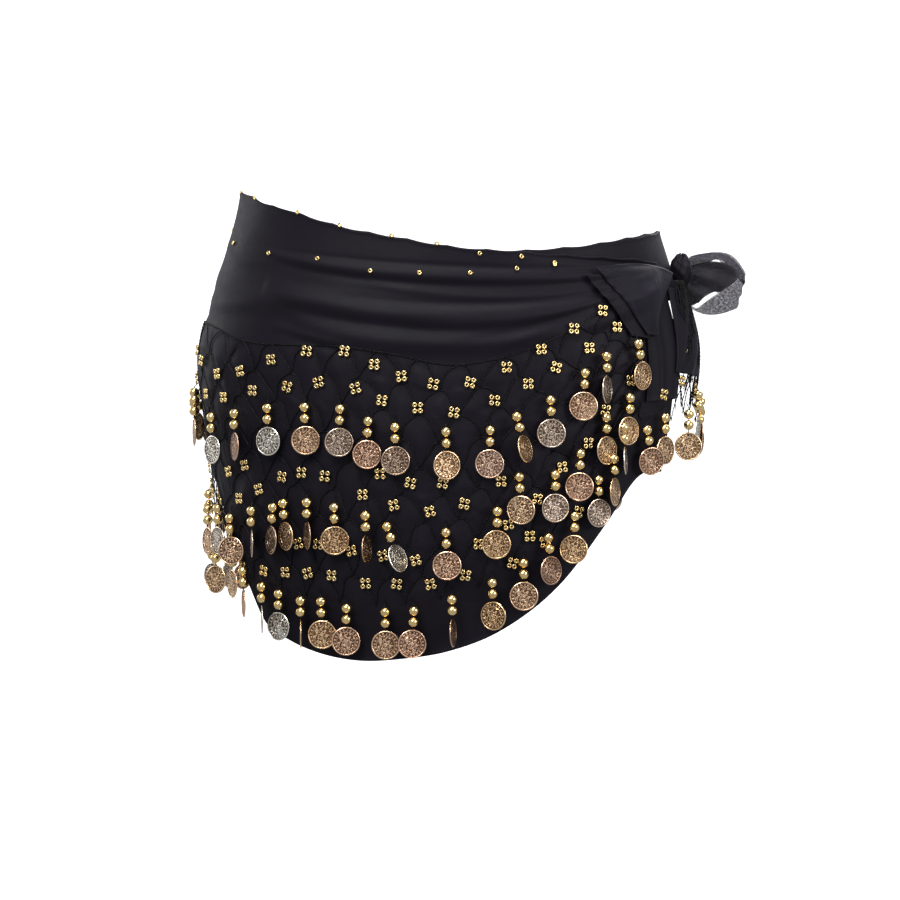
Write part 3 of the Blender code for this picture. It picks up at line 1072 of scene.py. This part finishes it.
class ScarfDrops(bpy.types.PropertyGroup):
    """Sizes of the coins and beads."""

    coin: length_setting("Coin Diameter", "Diameter of a coin", 19.5 * MM, MM)
    coin_thickness: length_setting("Coin Thickness", "Thickness of a coin's rim", 0.9 * MM)
    bead: length_setting("Bead Diameter", "Diameter of the two beads above each coin", 7.2 * MM, MM)
    seed: length_setting("Cluster Bead", "Diameter of the beads in the clusters", 3.7 * MM, MM)
    pitch: length_setting("Drop Pitch", "Distance between drops where they hang evenly", 23.5 * MM, MM)


class ScarfFinish(bpy.types.PropertyGroup):
    """Colours."""

    chiffon: colour_setting("Chiffon", "Colour of the cloth", (0.0062, 0.0050, 0.0088))
    bloom: colour_setting("Bloom", "Tint of the cloth where light grazes it", (0.56, 0.52, 0.7))
    thread: colour_setting("Thread", "Colour of the net", (0.003, 0.0026, 0.0034))
    gold: colour_setting("Gold", "Colour of the beads", (1.0, 0.77, 0.34))
    red_gold: colour_setting("Red Gold", "Cast of the beads' duller places", (0.92, 0.6, 0.25))
    # Painted light: the share by which the tie's flap and the bow loop are painted paler than the same black
    # chiffon elsewhere, as if more lit.
    flap_painted_light: bpy.props.FloatProperty(
        name="Flap Lift", description="How much paler the tie's cloth looks", default=1.5, min=0.5, max=4.0
    )


# ---------------------------------------------------------------------------------------------------
# Cloth
# ---------------------------------------------------------------------------------------------------


def rolled(away, roll):
    """Height of a rolled hem at a distance from the edge: a half round about two millimetres wide."""
    return roll * np.exp(-((away / (1.3 * MM)) ** 2))


def beaded_edge(turns):
    """How far the cloth's top edge dips between the beads sewn along it: one shallow arc per bead."""
    return -BEAD_DIP * np.abs(np.sin(np.pi * reach_at(turns) / TOP_PITCH))


def stretch(turns, upper, lower, layer, patch, lean):
    """A stretch of cloth on the form between two edges: its points and its places, in metres. Its last
    columns lean back, in degrees, towards the hem, and only a stretch under a net is draped."""
    cloth = bpy.context.scene.scarf_cloth
    depth = float((upper - lower).max())
    share = eased(max(int(depth / cloth.grid_step), 4))[:, None]
    heights = upper + (lower - upper) * share
    turns = turns - lean * share * np.linspace(0, 1, len(turns)) ** 12
    lift = layer + (drape(turns, heights) if patch else 0 * heights)
    lift = lift + rolled(upper - heights, cloth.hem_roll) + rolled(heights - lower, cloth.hem_roll)
    if patch:
        lift = lift + cloth.puff * cell_puff(patch, turns, heights)
    return form(turns, heights, lift), joined(reach_at(turns), heights)


def wrap_edges(name, turns):
    """Heights of a stretch's upper and lower edges."""
    upper = front_top(turns) if name == "wrap_front" else edge("top", turns)
    lower = edge("top", turns) - UNDER_DEPTH if name == "under_wrap" else edge("hem", turns)
    return upper, lower


class SCARF_OT_wraps(bpy.types.Operator):
    """Makes the three stretches of cloth that lie round the hips: front, back and the end under the tie"""

    bl_idname = "hip_scarf.wraps"
    bl_label = "Wrap Cloth"

    def execute(self, context):
        cloth = context.scene.scarf_cloth
        for wrap in WRAPS:
            start, end = reach_at(wrap.start + wrap.gaps[0]), reach_at(wrap.end + wrap.gaps[1])
            turns = turn_at(np.linspace(start, end, int((end - start) / cloth.grid_step)))
            upper, lower = wrap_edges(wrap.name, turns)
            lean = FRONT_LEAN if wrap.name == "wrap_front" else 0.0
            points, places = stretch(turns, upper + beaded_edge(turns), lower, wrap.layer, wrap.patch, lean)
            lot = grid_lot(points, places)
            finishes = [worn_finish("black_chiffon")]
            made = add_piece(f"{wrap.name}_cloth", [lot], finishes, [wrap.name])
            add_wall(made, cloth.wall)
        return {"FINISHED"}


def declare_wraps():
    """Works out the width, greatest depth and area that each stretch of cloth was cut to, and does nothing
    more with them. The beaded net and the coin drops hang from it.
    """
    for wrap in WRAPS:
        turns = np.linspace(wrap.start, wrap.end, 200)
        width, depth, area = cut_size(turns, *wrap_edges(wrap.name, turns))


class SCARF_OT_nets(bpy.types.Operator):
    """Makes the open nets of double twisted thread that hang from the band, and their top cords"""

    bl_idname = "hip_scarf.nets"
    bl_label = "Nets"

    def execute(self, context):
        self.make("net_front", FRONT_NET)
        self.make("net_back", BACK_NET)
        self.make("net_side", SIDE_NET)
        return {"FINISHED"}

    def make(self, name, patch):
        """Each arch of the net is a parabola from its top, one row down and half a cell to each side. It
        is made as two halves, so that a patch can end on the top of an arch."""
        row, half = np.meshgrid(np.arange(patch.rows), np.arange(2 * patch.cells + 1), indexing="ij")
        tops = (row + half) % 2 == 0
        row, top = row[tops], half[tops] / 2
        paths = []
        for side in (-0.5, 0.5):
            kept = (top + side >= 0) & (top + side <= patch.cells)
            share = np.linspace(0, 1, NET_STEPS)
            across = top[kept, None] + side * share
            down = row[kept, None] + share**2
            paths.append(net_place(patch, across, down))
        turns = np.vstack([path[0] for path in paths])
        heights = np.vstack([path[1] for path in paths])
        lots = [self.laid(turns, heights, patch)]
        turns = np.linspace(patch.start, patch.end, 40 * patch.cells)[None]
        if patch.gathered:
            turns = KNOT_TURN + (turns - KNOT_TURN) * GATHER
        lots.append(self.laid(turns, net_edges(patch, turns)[0], patch))
        ends = np.linspace(0, patch.rows, 12 * patch.rows)[None]
        for side in (0.0, float(patch.cells)):
            lots.append(self.laid(*net_place(patch, side + 0 * ends, ends), patch))
        if patch.gathered:
            lots.append(self.strands())
        add_piece(f"{name}_thread", lots, [worn_finish("net_thread")], [name])

    def strands(self):
        """Loose cords that hang from under the knot and spread as they go down."""
        rng = np.random.default_rng(5)
        share = np.linspace(0, 1, 40)
        each = (STRANDS, 1)
        start, end = rng.uniform(*STRAND_STARTS, each), rng.uniform(*STRAND_ENDS, each)
        sway = rng.uniform(0.5, 1.6, each) * np.sin(rng.uniform(4, 9, each) * share + 6 * start)
        turns = start + (end - start) * share**1.4 + sway * np.sin(np.pi * share)
        heights = STRAND_TOP - rng.uniform(*STRAND_DROPS, each) * MM * share
        out = NET_LAYER + rng.uniform(0.8, 2.6, each) * MM + 3 * MM * (1 - share)
        return self.twisted(turns, heights, out)

    def laid(self, turns, heights, patch):
        """Threads on the cloth's folds. A gathered net stands further out towards the knot."""
        lift = NET_LAYER + drape(turns, heights)
        if patch.gathered:
            lift = lift + 5 * MM * np.clip(1 - (SIDE_NET_TOP - heights) / (40 * MM), 0, 1)
        return self.twisted(turns, heights, lift)

    def twisted(self, turns, heights, out):
        cloth = bpy.context.scene.scarf_cloth
        return twisted_lot(form(turns, heights, out), outward(turns, heights), cloth.thread, cloth.lay)


# ---------------------------------------------------------------------------------------------------
# Beads and coins
# ---------------------------------------------------------------------------------------------------


def coin_shape(diameter, thickness):
    """A thin coin: a slightly sunk face inside a rounded rim, the same on both sides."""
    radius, half = diameter / 2, thickness / 2
    shares = ((0.0, 0.45), (0.55, 0.5), (0.86, 0.62), (0.93, 1.0), (1.0, 0.5))
    face = [(across * radius, along * half) for across, along in shares]
    back = [(across, -along) for across, along in face]
    return turned([*back, *face[::-1]], 22)


def ball_shape(diameter):
    """A round bead, a little flattened at both ends of its hole, about its own Z axis."""
    radius = diameter / 2
    angle = np.linspace(-np.pi / 2, np.pi / 2, 11)
    profile = np.stack((radius * np.cos(angle), 0.95 * radius * np.sin(angle)), axis=-1)
    profile[[0, -1], 0] = 0.0
    points, faces, places = turned(profile, 16)
    return points[:, (0, 2, 1)] * (1, -1, 1), faces, places


def seed_shape(diameter):
    """A small ring bead whose hole faces out."""
    tube = 0.18 * diameter
    return doughnut(diameter / 2 - tube, tube, 10, 6)


def even_drops(name, start, end, rng):
    """Drops that hang at an even pitch along a tier, each a little out of place and turned its own way."""
    pitch = bpy.context.scene.scarf_drops.pitch
    count = max(int(round((reach_at(end) - reach_at(start)) / pitch)), 1)
    reach = reach_at(start) + (np.arange(count) + 0.5) * (reach_at(end) - reach_at(start)) / count
    turns = turn_at(reach + rng.uniform(-2.5, 2.5, count) * MM)
    heights = tier(name, turns) / MM + rng.uniform(-2.0, 2.0, count)
    flipped = rng.random(count) < 0.15
    facing = turns + np.where(flipped, rng.uniform(-70, 70, count), rng.uniform(-22, 22, count))
    return np.stack((turns, heights, facing, rng.uniform(-4, 4, count), 0 * turns - 1), axis=-1)


def drop_axes(turns, heights, facing):
    """Where each drop's thread hangs: the place furthest out of those that its beads and its coin need to
    clear the net, straight above the coin's centre."""
    drops = bpy.context.scene.scarf_drops
    coin, bead = drops.coin / 2, drops.bead / 2
    aside = np.abs(np.sin(np.radians(facing - turns)))
    needs = ((DROP_TOP, bead), (BEAD_RISES[0], bead), (0.0, coin * aside), (-0.8 * coin, 0.6 * coin * aside))
    base = form(turns, heights, NET_LAYER + DROP_STAND)
    best = base[:, :2].copy()
    for rise, room in needs:
        level = heights + rise
        out = NET_LAYER + DROP_GAP + room + drape(turns, level).clip(0)
        point = form(turns, level, out)[:, :2]
        front = np.abs(turns) < 75
        width, depth = ring_sizes(level)[:2]
        share = np.clip(base[:, 0] / (width + out), -1, 1)
        point[front] = np.stack((base[:, 0], -(depth + out) * np.sqrt(1 - share**2)), axis=-1)[front]
        further = np.linalg.norm(point, axis=1) > np.linalg.norm(best, axis=1)
        best[further] = point[further]
    return best


def drop_lots(rows, rng):
    """Coins, beads and threads of a set of drops, as three lots with finishes 0, 1 and 2."""
    drops = bpy.context.scene.scarf_drops
    turns, heights, facing, lean = rows[:, 0], rows[:, 1] * MM, rows[:, 2], rows[:, 3]
    axis = drop_axes(turns, heights, facing)
    centre = np.column_stack((axis, heights))
    angle = np.radians(turns)
    tangent = np.stack((np.cos(angle), np.sin(angle), 0 * angle), axis=-1)
    frames = hanging_frames(facing, lean, tangent)
    up = frames[:, :, 2]
    tones = np.where(rows[:, 4] < 0, rng.random(len(rows)), rows[:, 4])
    lots = [scattered(coin_shape(drops.coin, drops.coin_thickness), centre, frames, tones, 0)]
    for rise in BEAD_RISES:
        lots.append(scattered(ball_shape(drops.bead), centre + rise * up, frames, tones, 1))
    knot = form(turns, heights + (DROP_TOP + 4 * MM), NET_LAYER + 0.5 * MM)
    hole = centre + 0.42 * drops.coin * up
    top = centre + DROP_TOP * up
    paths = np.stack((hole - 1.2 * MM * frames[:, :, 1], hole + 1.5 * MM * up, top, knot), axis=1)
    normals = np.broadcast_to(frames[:, None, :, 1], paths.shape)
    lots.append(thread_lot(paths, normals, DROP_THREAD, finish=2))
    return lots


class SCARF_OT_drops(bpy.types.Operator):
    """Makes the three tiers of coin drops: each is a coin under two gold beads on a thread"""

    bl_idname = "hip_scarf.drops"
    bl_label = "Coin Drops"

    def execute(self, context):
        rng = np.random.default_rng(7)
        finishes = [worn_finish("stamped_coin"), worn_finish("gold_bead"), worn_finish("net_thread")]
        for name, placed, gap in (
            ("upper", UPPER_DROPS, 6),
            ("middle", MIDDLE_DROPS, 6),
            ("lower", LOWER_DROPS, 16),
        ):
            first = placed[0].turn - 4.0
            rows = np.vstack((even_drops(name, LEFT_SEAM, first, rng), np.array(placed, float)))
            self.hang(f"{name}_front", rows, finishes, rng)
            rows = even_drops(name, BACK_EDGE + gap, 360 + LEFT_SEAM, rng)
            self.hang(f"{name}_back", rows, finishes, rng)
        self.hang("side", np.array(SIDE_DROPS, float), finishes, rng)
        return {"FINISHED"}

    def hang(self, name, rows, finishes, rng):
        add_piece(f"coins_{name}", drop_lots(rows, rng), finishes, [f"fringe_{name}"])


def cluster_lots(rows, rng):
    """Clusters of four ring beads on the net, two by two, each turned a little its own way, from rows of
    turns in degrees and heights in mm."""
    seed = bpy.context.scene.scarf_drops.seed
    turns, heights = np.array(rows, float).T * [[1], [MM]]
    frames = lying_frames(turns, heights, rng.uniform(-16, 16, len(turns)))
    centre = form(turns, heights, NET_LAYER + CLUSTER_LIFT + 0.3 * seed + drape(turns, heights).clip(0))
    lots = []
    for across, up in ((-1, -1), (-1, 1), (1, -1), (1, 1)):
        shift = 0.53 * seed * (across * frames[:, :, 0] + up * frames[:, :, 2])
        stray = rng.normal(0, 0.1 * MM, shift.shape)
        lots.append(scattered(seed_shape(seed), centre + shift + stray, frames))
    return lots


def even_clusters(name, start, end, rise, rng):
    """Clusters above a tier at its even pitch."""
    pitch = bpy.context.scene.scarf_drops.pitch
    count = int((reach_at(end) - reach_at(start)) / pitch)
    turns = turn_at(reach_at(start) + (np.arange(count) + 0.5) * pitch + rng.uniform(-2, 2, count) * MM)
    return np.column_stack((turns, tier(name, turns) / MM + rise + rng.uniform(-3, 3, count)))


class SCARF_OT_beadwork(bpy.types.Operator):
    """Makes the clusters of four beads on the net, and the single beads along the top edge and the fold"""

    bl_idname = "hip_scarf.beadwork"
    bl_label = "Beadwork"

    def execute(self, context):
        rng = np.random.default_rng(19)
        finish = [worn_finish("gold_bead")]
        front = [place for row in CLUSTER_ROWS for place in row]
        add_piece("clusters_front", cluster_lots(front, rng), finish, ["net_front"])
        back = np.vstack(
            [
                even_clusters(name, BACK_EDGE + 3 + shift, 360 + LEFT_SEAM + 12 + shift, rise, rng)
                for name, rise, shift in CLUSTER_RISES
            ]
        )
        add_piece("clusters_back", cluster_lots(back, rng), finish, ["net_back"])
        add_piece("clusters_side", cluster_lots(SIDE_CLUSTERS, rng), finish, ["net_side"])
        for name, singles, replaced in (
            ("edge_beads_front", self.front_singles(), "wrap_front"),
            ("edge_beads_back", self.back_singles(), "wrap_back"),
        ):
            add_piece(name, self.singles(singles), finish, [replaced])
        return {"FINISHED"}

    def front_singles(self):
        """Places along the top edge, on it, and along the fold line, as listed."""
        turns = np.array(TOP_BEAD_TURNS, float)
        heights = edge("top", turns) / MM + 0.3
        return np.vstack((np.column_stack((turns, heights)), np.array(LINE_BEADS, float)))

    def back_singles(self):
        """Two even rows round the back: one along the top edge and one on the fold line below it."""
        reach = np.arange(reach_at(BACK_EDGE + 4), reach_at(360 + LEFT_SEAM - 2), TOP_PITCH)
        top = turn_at(reach)
        line = turn_at(reach + TOP_PITCH / 2)
        return np.vstack(
            (
                np.column_stack((top, edge("top", top) / MM - TOP_DROP)),
                np.column_stack((line, edge("top", line) / MM - LINE_DROP)),
            )
        )

    def singles(self, rows):
        seed = 0.92 * bpy.context.scene.scarf_drops.seed
        turns, heights = rows[:, 0], rows[:, 1] * MM
        out = WRAP_LAYER + 0.3 * seed + drape(turns, heights).clip(0)
        frames = lying_frames(turns, heights, 0 * turns)
        return [scattered(seed_shape(seed), form(turns, heights, out), frames)]


# ---------------------------------------------------------------------------------------------------
# The tie
# ---------------------------------------------------------------------------------------------------


def tie_grid(corners, across, down):
    """Turns, heights, and shares across and down, of a four-cornered piece's grid."""
    top_left, top_right, low_left, low_right = np.array(corners, float)
    along = eased(across)[None, :, None]
    drop = eased(down)[:, None, None]
    place = (1 - drop) * ((1 - along) * top_left + along * top_right)
    place = place + drop * ((1 - along) * low_left + along * low_right)
    return place[..., 0], place[..., 1] * MM, along[..., 0], drop[..., 0]


class SCARF_OT_tie(bpy.types.Operator):
    """Makes the tie's pieces on the hip: the hanging end, the fold, the smooth flap and the gathered tail"""

    bl_idname = "hip_scarf.tie"
    bl_label = "Tie"

    def execute(self, context):
        # The flap's finish is the black chiffon painted paler, as painted light.
        black, pale = worn_finish("black_chiffon"), worn_finish("flap_chiffon")
        self.make("tie_under", TIE_UNDER, 40, 56, UNDER_TIE_LAYER, self.hanging_folds, black)
        self.make("tie_fold", TIE_FOLD, 28, 44, FOLD_LAYER, self.tube, black)
        self.make("tie_flap", TIE_FLAP, 64, 48, FLAP_LAYER, self.smooth_face, pale)
        self.make("tie_tail", TIE_TAIL, 20, 40, FOLD_LAYER, self.gathers, black)
        return {"FINISHED"}

    def make(self, name, corners, across, down, layer, shape, finish):
        cloth = bpy.context.scene.scarf_cloth
        turns, heights, along, drop = tie_grid(corners, across, down)
        if name == "tie_flap":
            heights = heights + 4.5 * MM * np.sin(np.pi * along) * (1 - drop) ** 2
            turns = turns - 4.0 * np.sin(np.pi * drop) * along**2
        lift = layer + drape(turns, heights) + shape(along, drop)
        edges = np.minimum(np.minimum(along, 1 - along) * 26 * MM, np.minimum(drop, 1 - drop) * 50 * MM)
        lift = lift + rolled(edges, 0.5 * cloth.hem_roll)
        points = form(turns, heights, lift)
        lot = grid_lot(points, joined(reach_at(turns), heights))
        made = add_piece(f"{name}_cloth", [lot], [finish], [name])
        add_wall(made, cloth.wall)

    def hanging_folds(self, along, drop):
        """Three soft upright folds that deepen as they go down."""
        return (0.6 + 1.0 * drop) * MM * np.sin(np.pi * (3.4 * along - 0.5 * drop)) * np.sin(np.pi * along)

    def tube(self, along, drop):
        """A rounded fold, full in the middle and closed at both sides."""
        return 1.5 * MM * np.sqrt(np.sin(np.pi * along)) * np.sin(np.pi * (0.12 + 0.8 * drop))

    def smooth_face(self, along, drop):
        """A full face, with a rolled left edge and shallow folds that run down from the knot."""
        full = FLAP_PUFF * np.sin(np.pi * along) * np.sin(np.pi * drop)
        ray = np.sin(9.0 * (along - 0.35 * drop) + 1.0) * (1 - drop) * along
        lip = 0.7 * MM * np.exp(-(((along - 0.05) / 0.05) ** 2))
        return full + 0.45 * MM * ray + lip

    def gathers(self, along, drop):
        """A rounded tail, with gathers that slant across it as it goes down."""
        wave = 1.3 * np.sin(np.pi * (4.0 * along + 3.0 * drop)) + 1.2
        return wave * MM * np.sin(np.pi * along)


class SCARF_OT_knot(bpy.types.Operator):
    """Makes the knot: a round lump whose skin winds in soft ridges"""

    bl_idname = "hip_scarf.knot"
    bl_label = "Knot"

    def execute(self, context):
        rows, cols = 46, 72
        across = 2 * np.pi * np.arange(cols) / cols
        down = np.linspace(0, np.pi, rows + 2)[1:-1, None]
        ridge = 0.9 + 0.1 * np.cos(3 * across + 2 * down)
        pleat = 0.035 * np.sin(13 * across + 7 * down) * np.sin(down) + 0.02 * np.sin(5 * across - 9 * down)
        reach = KNOT_RADIUS * (ridge + pleat)
        body = joined(
            reach * np.cos(across) * np.sin(down),
            reach * np.sin(across) * np.sin(down),
            KNOT_TALL * reach * np.cos(down),
        )
        tall = KNOT_TALL * 0.9 * KNOT_RADIUS
        centre = form(np.array(KNOT_TURN), np.array(KNOT_HEIGHT), KNOT_STAND) - (KNOT_TUCK, 0, 0)
        points = np.vstack((body.reshape(-1, 3), [(0, 0, tall), (0, 0, -tall)])) * (0.8, 1, 1.1) + centre
        places = joined(across * KNOT_RADIUS, down * KNOT_RADIUS).reshape(-1, 2)
        places = np.vstack((places, [(0, 0), (0, np.pi * KNOT_RADIUS)]))
        faces = [grid_faces(rows, cols, closed_cols=True), pole_faces(rows, cols)]
        lot = Lot(points, faces, places, 0.0, 0)
        add_piece("knot_wound", [lot], [worn_finish("black_chiffon")], ["knot"])
        return {"FINISHED"}


class SCARF_OT_bow(bpy.types.Operator):
    """Makes the sheer bow loop beside the knot, with the long slits along its hems"""

    bl_idname = "hip_scarf.bow"
    bl_label = "Bow Loop"

    def execute(self, context):
        cloth = bpy.context.scene.scarf_cloth
        along = np.linspace(LOOP_ENDS, 1 - LOOP_ENDS, 140)
        reach = LOOP_LENGTH * np.sin(np.pi * along) ** 2
        half = self.half_height(along)
        seam = np.clip((LOOP_SEAM_RISE + LOOP_SEAM_SLOPE * (reach - LOOP_SEAM_REACH)) / half, -0.93, 0.5)
        high = LOOP_HIGH - 0.12 * np.sin(3 * np.pi * along) ** 2
        line = high - LOOP_HEM / half
        lots = [
            self.strip(along, seam + self.opening(LOWER_SLIT, reach) / half, line, 36, 0.0),
            self.strip(along, line + self.opening(UPPER_SLIT, reach) / half, high, 8, 0.5),
            self.strip(along, -1 + 0 * along, seam, 16, 1.0),
        ]
        made = add_piece("bow_cloth", lots, [worn_finish("sheer_chiffon")], ["bow_loop"])
        add_wall(made, 0.35 * cloth.wall)
        return {"FINISHED"}

    def opening(self, slit, reach):
        """How wide a slit gapes at each reach: a flattened arch."""
        return slit.width * np.clip(1 - ((reach - slit.reach) / slit.half) ** 2, 0, 1) ** 0.7

    def spread(self, along):
        return LOOP_SPREAD * np.sin(2 * np.pi * along) * np.sin(np.pi * along)

    def half_height(self, along):
        return (
            LOOP_ROOT_HALF
            + LOOP_BELLY_HALF * np.sin(2 * np.pi * along) ** 2
            + LOOP_TIP_HALF * np.sin(np.pi * along) ** 6
        )

    def strip(self, along, low, high, rows, single_layer_and_sheen):
        """Part of the loop between two lines along it. The loop leaves the knot, turns round and comes
        back: a leaf in plan, widest half way out, gathered at the knot and crumpled between."""
        reach = LOOP_LENGTH * np.sin(np.pi * along) ** 2
        spread = self.spread(along)
        slope = np.gradient(np.stack((reach, spread)), axis=1)
        slope /= np.linalg.norm(slope, axis=0)
        side = high + (low - high) * np.linspace(0, 1, rows + 1)[:, None]
        gather = 1.5 * MM * np.sin(11 * side + 1.1 * np.sin(7 * along)) * np.cos(np.pi * along) ** 2
        crumple = 1.0 * MM * np.sin(19 * along + 5 * side) * np.sin(5 * side - 9 * along)
        belly = 3.2 * MM * (1 - side**2) * np.sin(2 * np.pi * along) ** 2
        lift = gather + crumple * np.sin(np.pi * along) + belly + 0.8 * MM * single_layer_and_sheen
        flat_reach = reach - lift * slope[1]
        flat_spread = spread + lift * slope[0]
        rise = side * self.half_height(along)
        points = np.stack(
            (
                LOOP_ROOT[0] + flat_reach * math.cos(LOOP_DROOP) + rise * math.sin(LOOP_DROOP),
                LOOP_ROOT[1] - flat_spread,
                LOOP_ROOT[2] - flat_reach * math.sin(LOOP_DROOP) + rise * math.cos(LOOP_DROOP),
            ),
            axis=-1,
        )
        places = joined(along * 2 * LOOP_LENGTH, rise)
        # The tone marks the one-layer strips and, at the loop's tip, a painted sheen: the finish paints both
        # paler and lets more light through.
        tones = np.clip(single_layer_and_sheen + 1.2 * np.clip(reach / LOOP_LENGTH - 0.8, 0, 1) * 4 * (side < 0.55), 0, 1)
        return grid_lot(points, places, tones)


# ---------------------------------------------------------------------------------------------------
# The stage
# ---------------------------------------------------------------------------------------------------


class SCARF_OT_stage(bpy.types.Operator):
    """Makes the pale floor that curves up all round, the soft lights and the camera"""

    bl_idname = "hip_scarf.stage"
    bl_label = "Stage"

    def execute(self, context):
        self.floor()
        world = bpy.data.worlds.new("soft_day")
        world.use_nodes = True
        sky = world.node_tree.nodes["Background"]
        sky.inputs["Color"].default_value = SKY_COLOUR
        sky.inputs["Strength"].default_value = SKY_STRENGTH
        context.scene.world = world
        context.scene.view_settings.view_transform = "Standard"
        for name, place, size, power in LAMPS:
            self.lamp(name, place, size, power)
        self.camera()
        return {"FINISHED"}

    def floor(self):
        """A round floor whose edge curves up into a wall: a profile of a flat, a quarter circle and a short
        upright, turned once round."""
        quarter = np.linspace(0, np.pi / 2, 13)
        radius = np.concatenate(([0.02, 1.5], FLOOR_RADIUS + FLOOR_CURVE * np.sin(quarter)))
        height = np.concatenate(([0.0, 0.0], FLOOR_CURVE * (1 - np.cos(quarter))))
        radius = np.append(radius, radius[-1])[::-1, None]
        height = np.append(height, height[-1] + FLOOR_UPRIGHT)[::-1, None]
        angle = 2 * np.pi * np.arange(96) / 96
        grid = joined(radius * np.sin(angle), -radius * np.cos(angle), FLOOR_LEVEL + height)
        mesh = bpy.data.meshes.new("stage_floor")
        faces = grid_faces(len(radius), len(angle), closed_cols=True)[:, ::-1]
        middle = [tuple((len(radius) - 1) * len(angle) + np.arange(len(angle)))]
        mesh.from_pydata(grid.reshape(-1, 3).tolist(), [], faces.tolist() + middle)
        mesh.materials.append(stage_finish().material)
        mesh.shade_smooth()
        made = bpy.data.objects.new("stage_floor", mesh)
        made.visible_glossy = False
        made.visible_diffuse = False
        bpy.context.scene.collection.objects.link(made)

    def lamp(self, name, place, size, power):
        light = bpy.data.lights.new(name, "AREA")
        light.shape = "DISK"
        light.size = size
        light.energy = power
        made = bpy.data.objects.new(name, light)
        made.location = place
        made.rotation_mode = "QUATERNION"
        made.rotation_quaternion = (Vector(CAMERA_AIM) - Vector(place)).to_track_quat("-Z", "Y")
        made.visible_camera = False
        bpy.context.scene.collection.objects.link(made)

    def camera(self):
        lens = bpy.data.cameras.new("camera")
        lens.lens = CAMERA_LENS
        made = bpy.data.objects.new("camera", lens)
        back = Vector((0.0, -math.cos(CAMERA_RISE), math.sin(CAMERA_RISE)))
        made.location = Vector(CAMERA_AIM) + back * CAMERA_DISTANCE
        made.rotation_mode = "QUATERNION"
        made.rotation_quaternion = (-back).to_track_quat("-Z", "Y")
        lens.clip_end = 50.0
        bpy.context.scene.collection.objects.link(made)
        bpy.context.scene.camera = made


class SCARF_PT_maker(bpy.types.Panel):
    """Lists the sizes, the colours and the pieces"""

    bl_label = "Hip Scarf"
    bl_idname = "SCARF_PT_maker"
    bl_space_type = "VIEW_3D"
    bl_region_type = "UI"
    bl_category = "Hip Scarf"

    def draw(self, context):
        layout = self.layout
        for group in ("scarf_cloth", "scarf_drops", "scarf_finish"):
            box = layout.box()
            settings = getattr(context.scene, group)
            for name in settings.__annotations__:
                box.prop(settings, name)
        for operator in OPERATORS:
            layout.operator(operator.bl_idname)


OPERATORS = (
    SCARF_OT_stage,
    SCARF_OT_wraps,
    SCARF_OT_nets,
    SCARF_OT_drops,
    SCARF_OT_beadwork,
    SCARF_OT_tie,
    SCARF_OT_knot,
    SCARF_OT_bow,
)
GROUPS = {"scarf_cloth": ScarfCloth, "scarf_drops": ScarfDrops, "scarf_finish": ScarfFinish}


def register():
    for made in (*GROUPS.values(), *OPERATORS, SCARF_PT_maker):
        bpy.utils.register_class(made)
    for name, group in GROUPS.items():
        setattr(bpy.types.Scene, name, bpy.props.PointerProperty(type=group))


def unregister():
    for name in GROUPS:
        delattr(bpy.types.Scene, name)
    for made in reversed((*GROUPS.values(), *OPERATORS, SCARF_PT_maker)):
        bpy.utils.unregister_class(made)


def main():
    register()
    bpy.ops.hip_scarf.stage()
    bpy.ops.hip_scarf.wraps()
    bpy.ops.hip_scarf.nets()
    bpy.ops.hip_scarf.drops()
    bpy.ops.hip_scarf.beadwork()
    bpy.ops.hip_scarf.tie()
    bpy.ops.hip_scarf.knot()
    bpy.ops.hip_scarf.bow()
    declare_wraps()


if __name__ == "__main__":
    main()
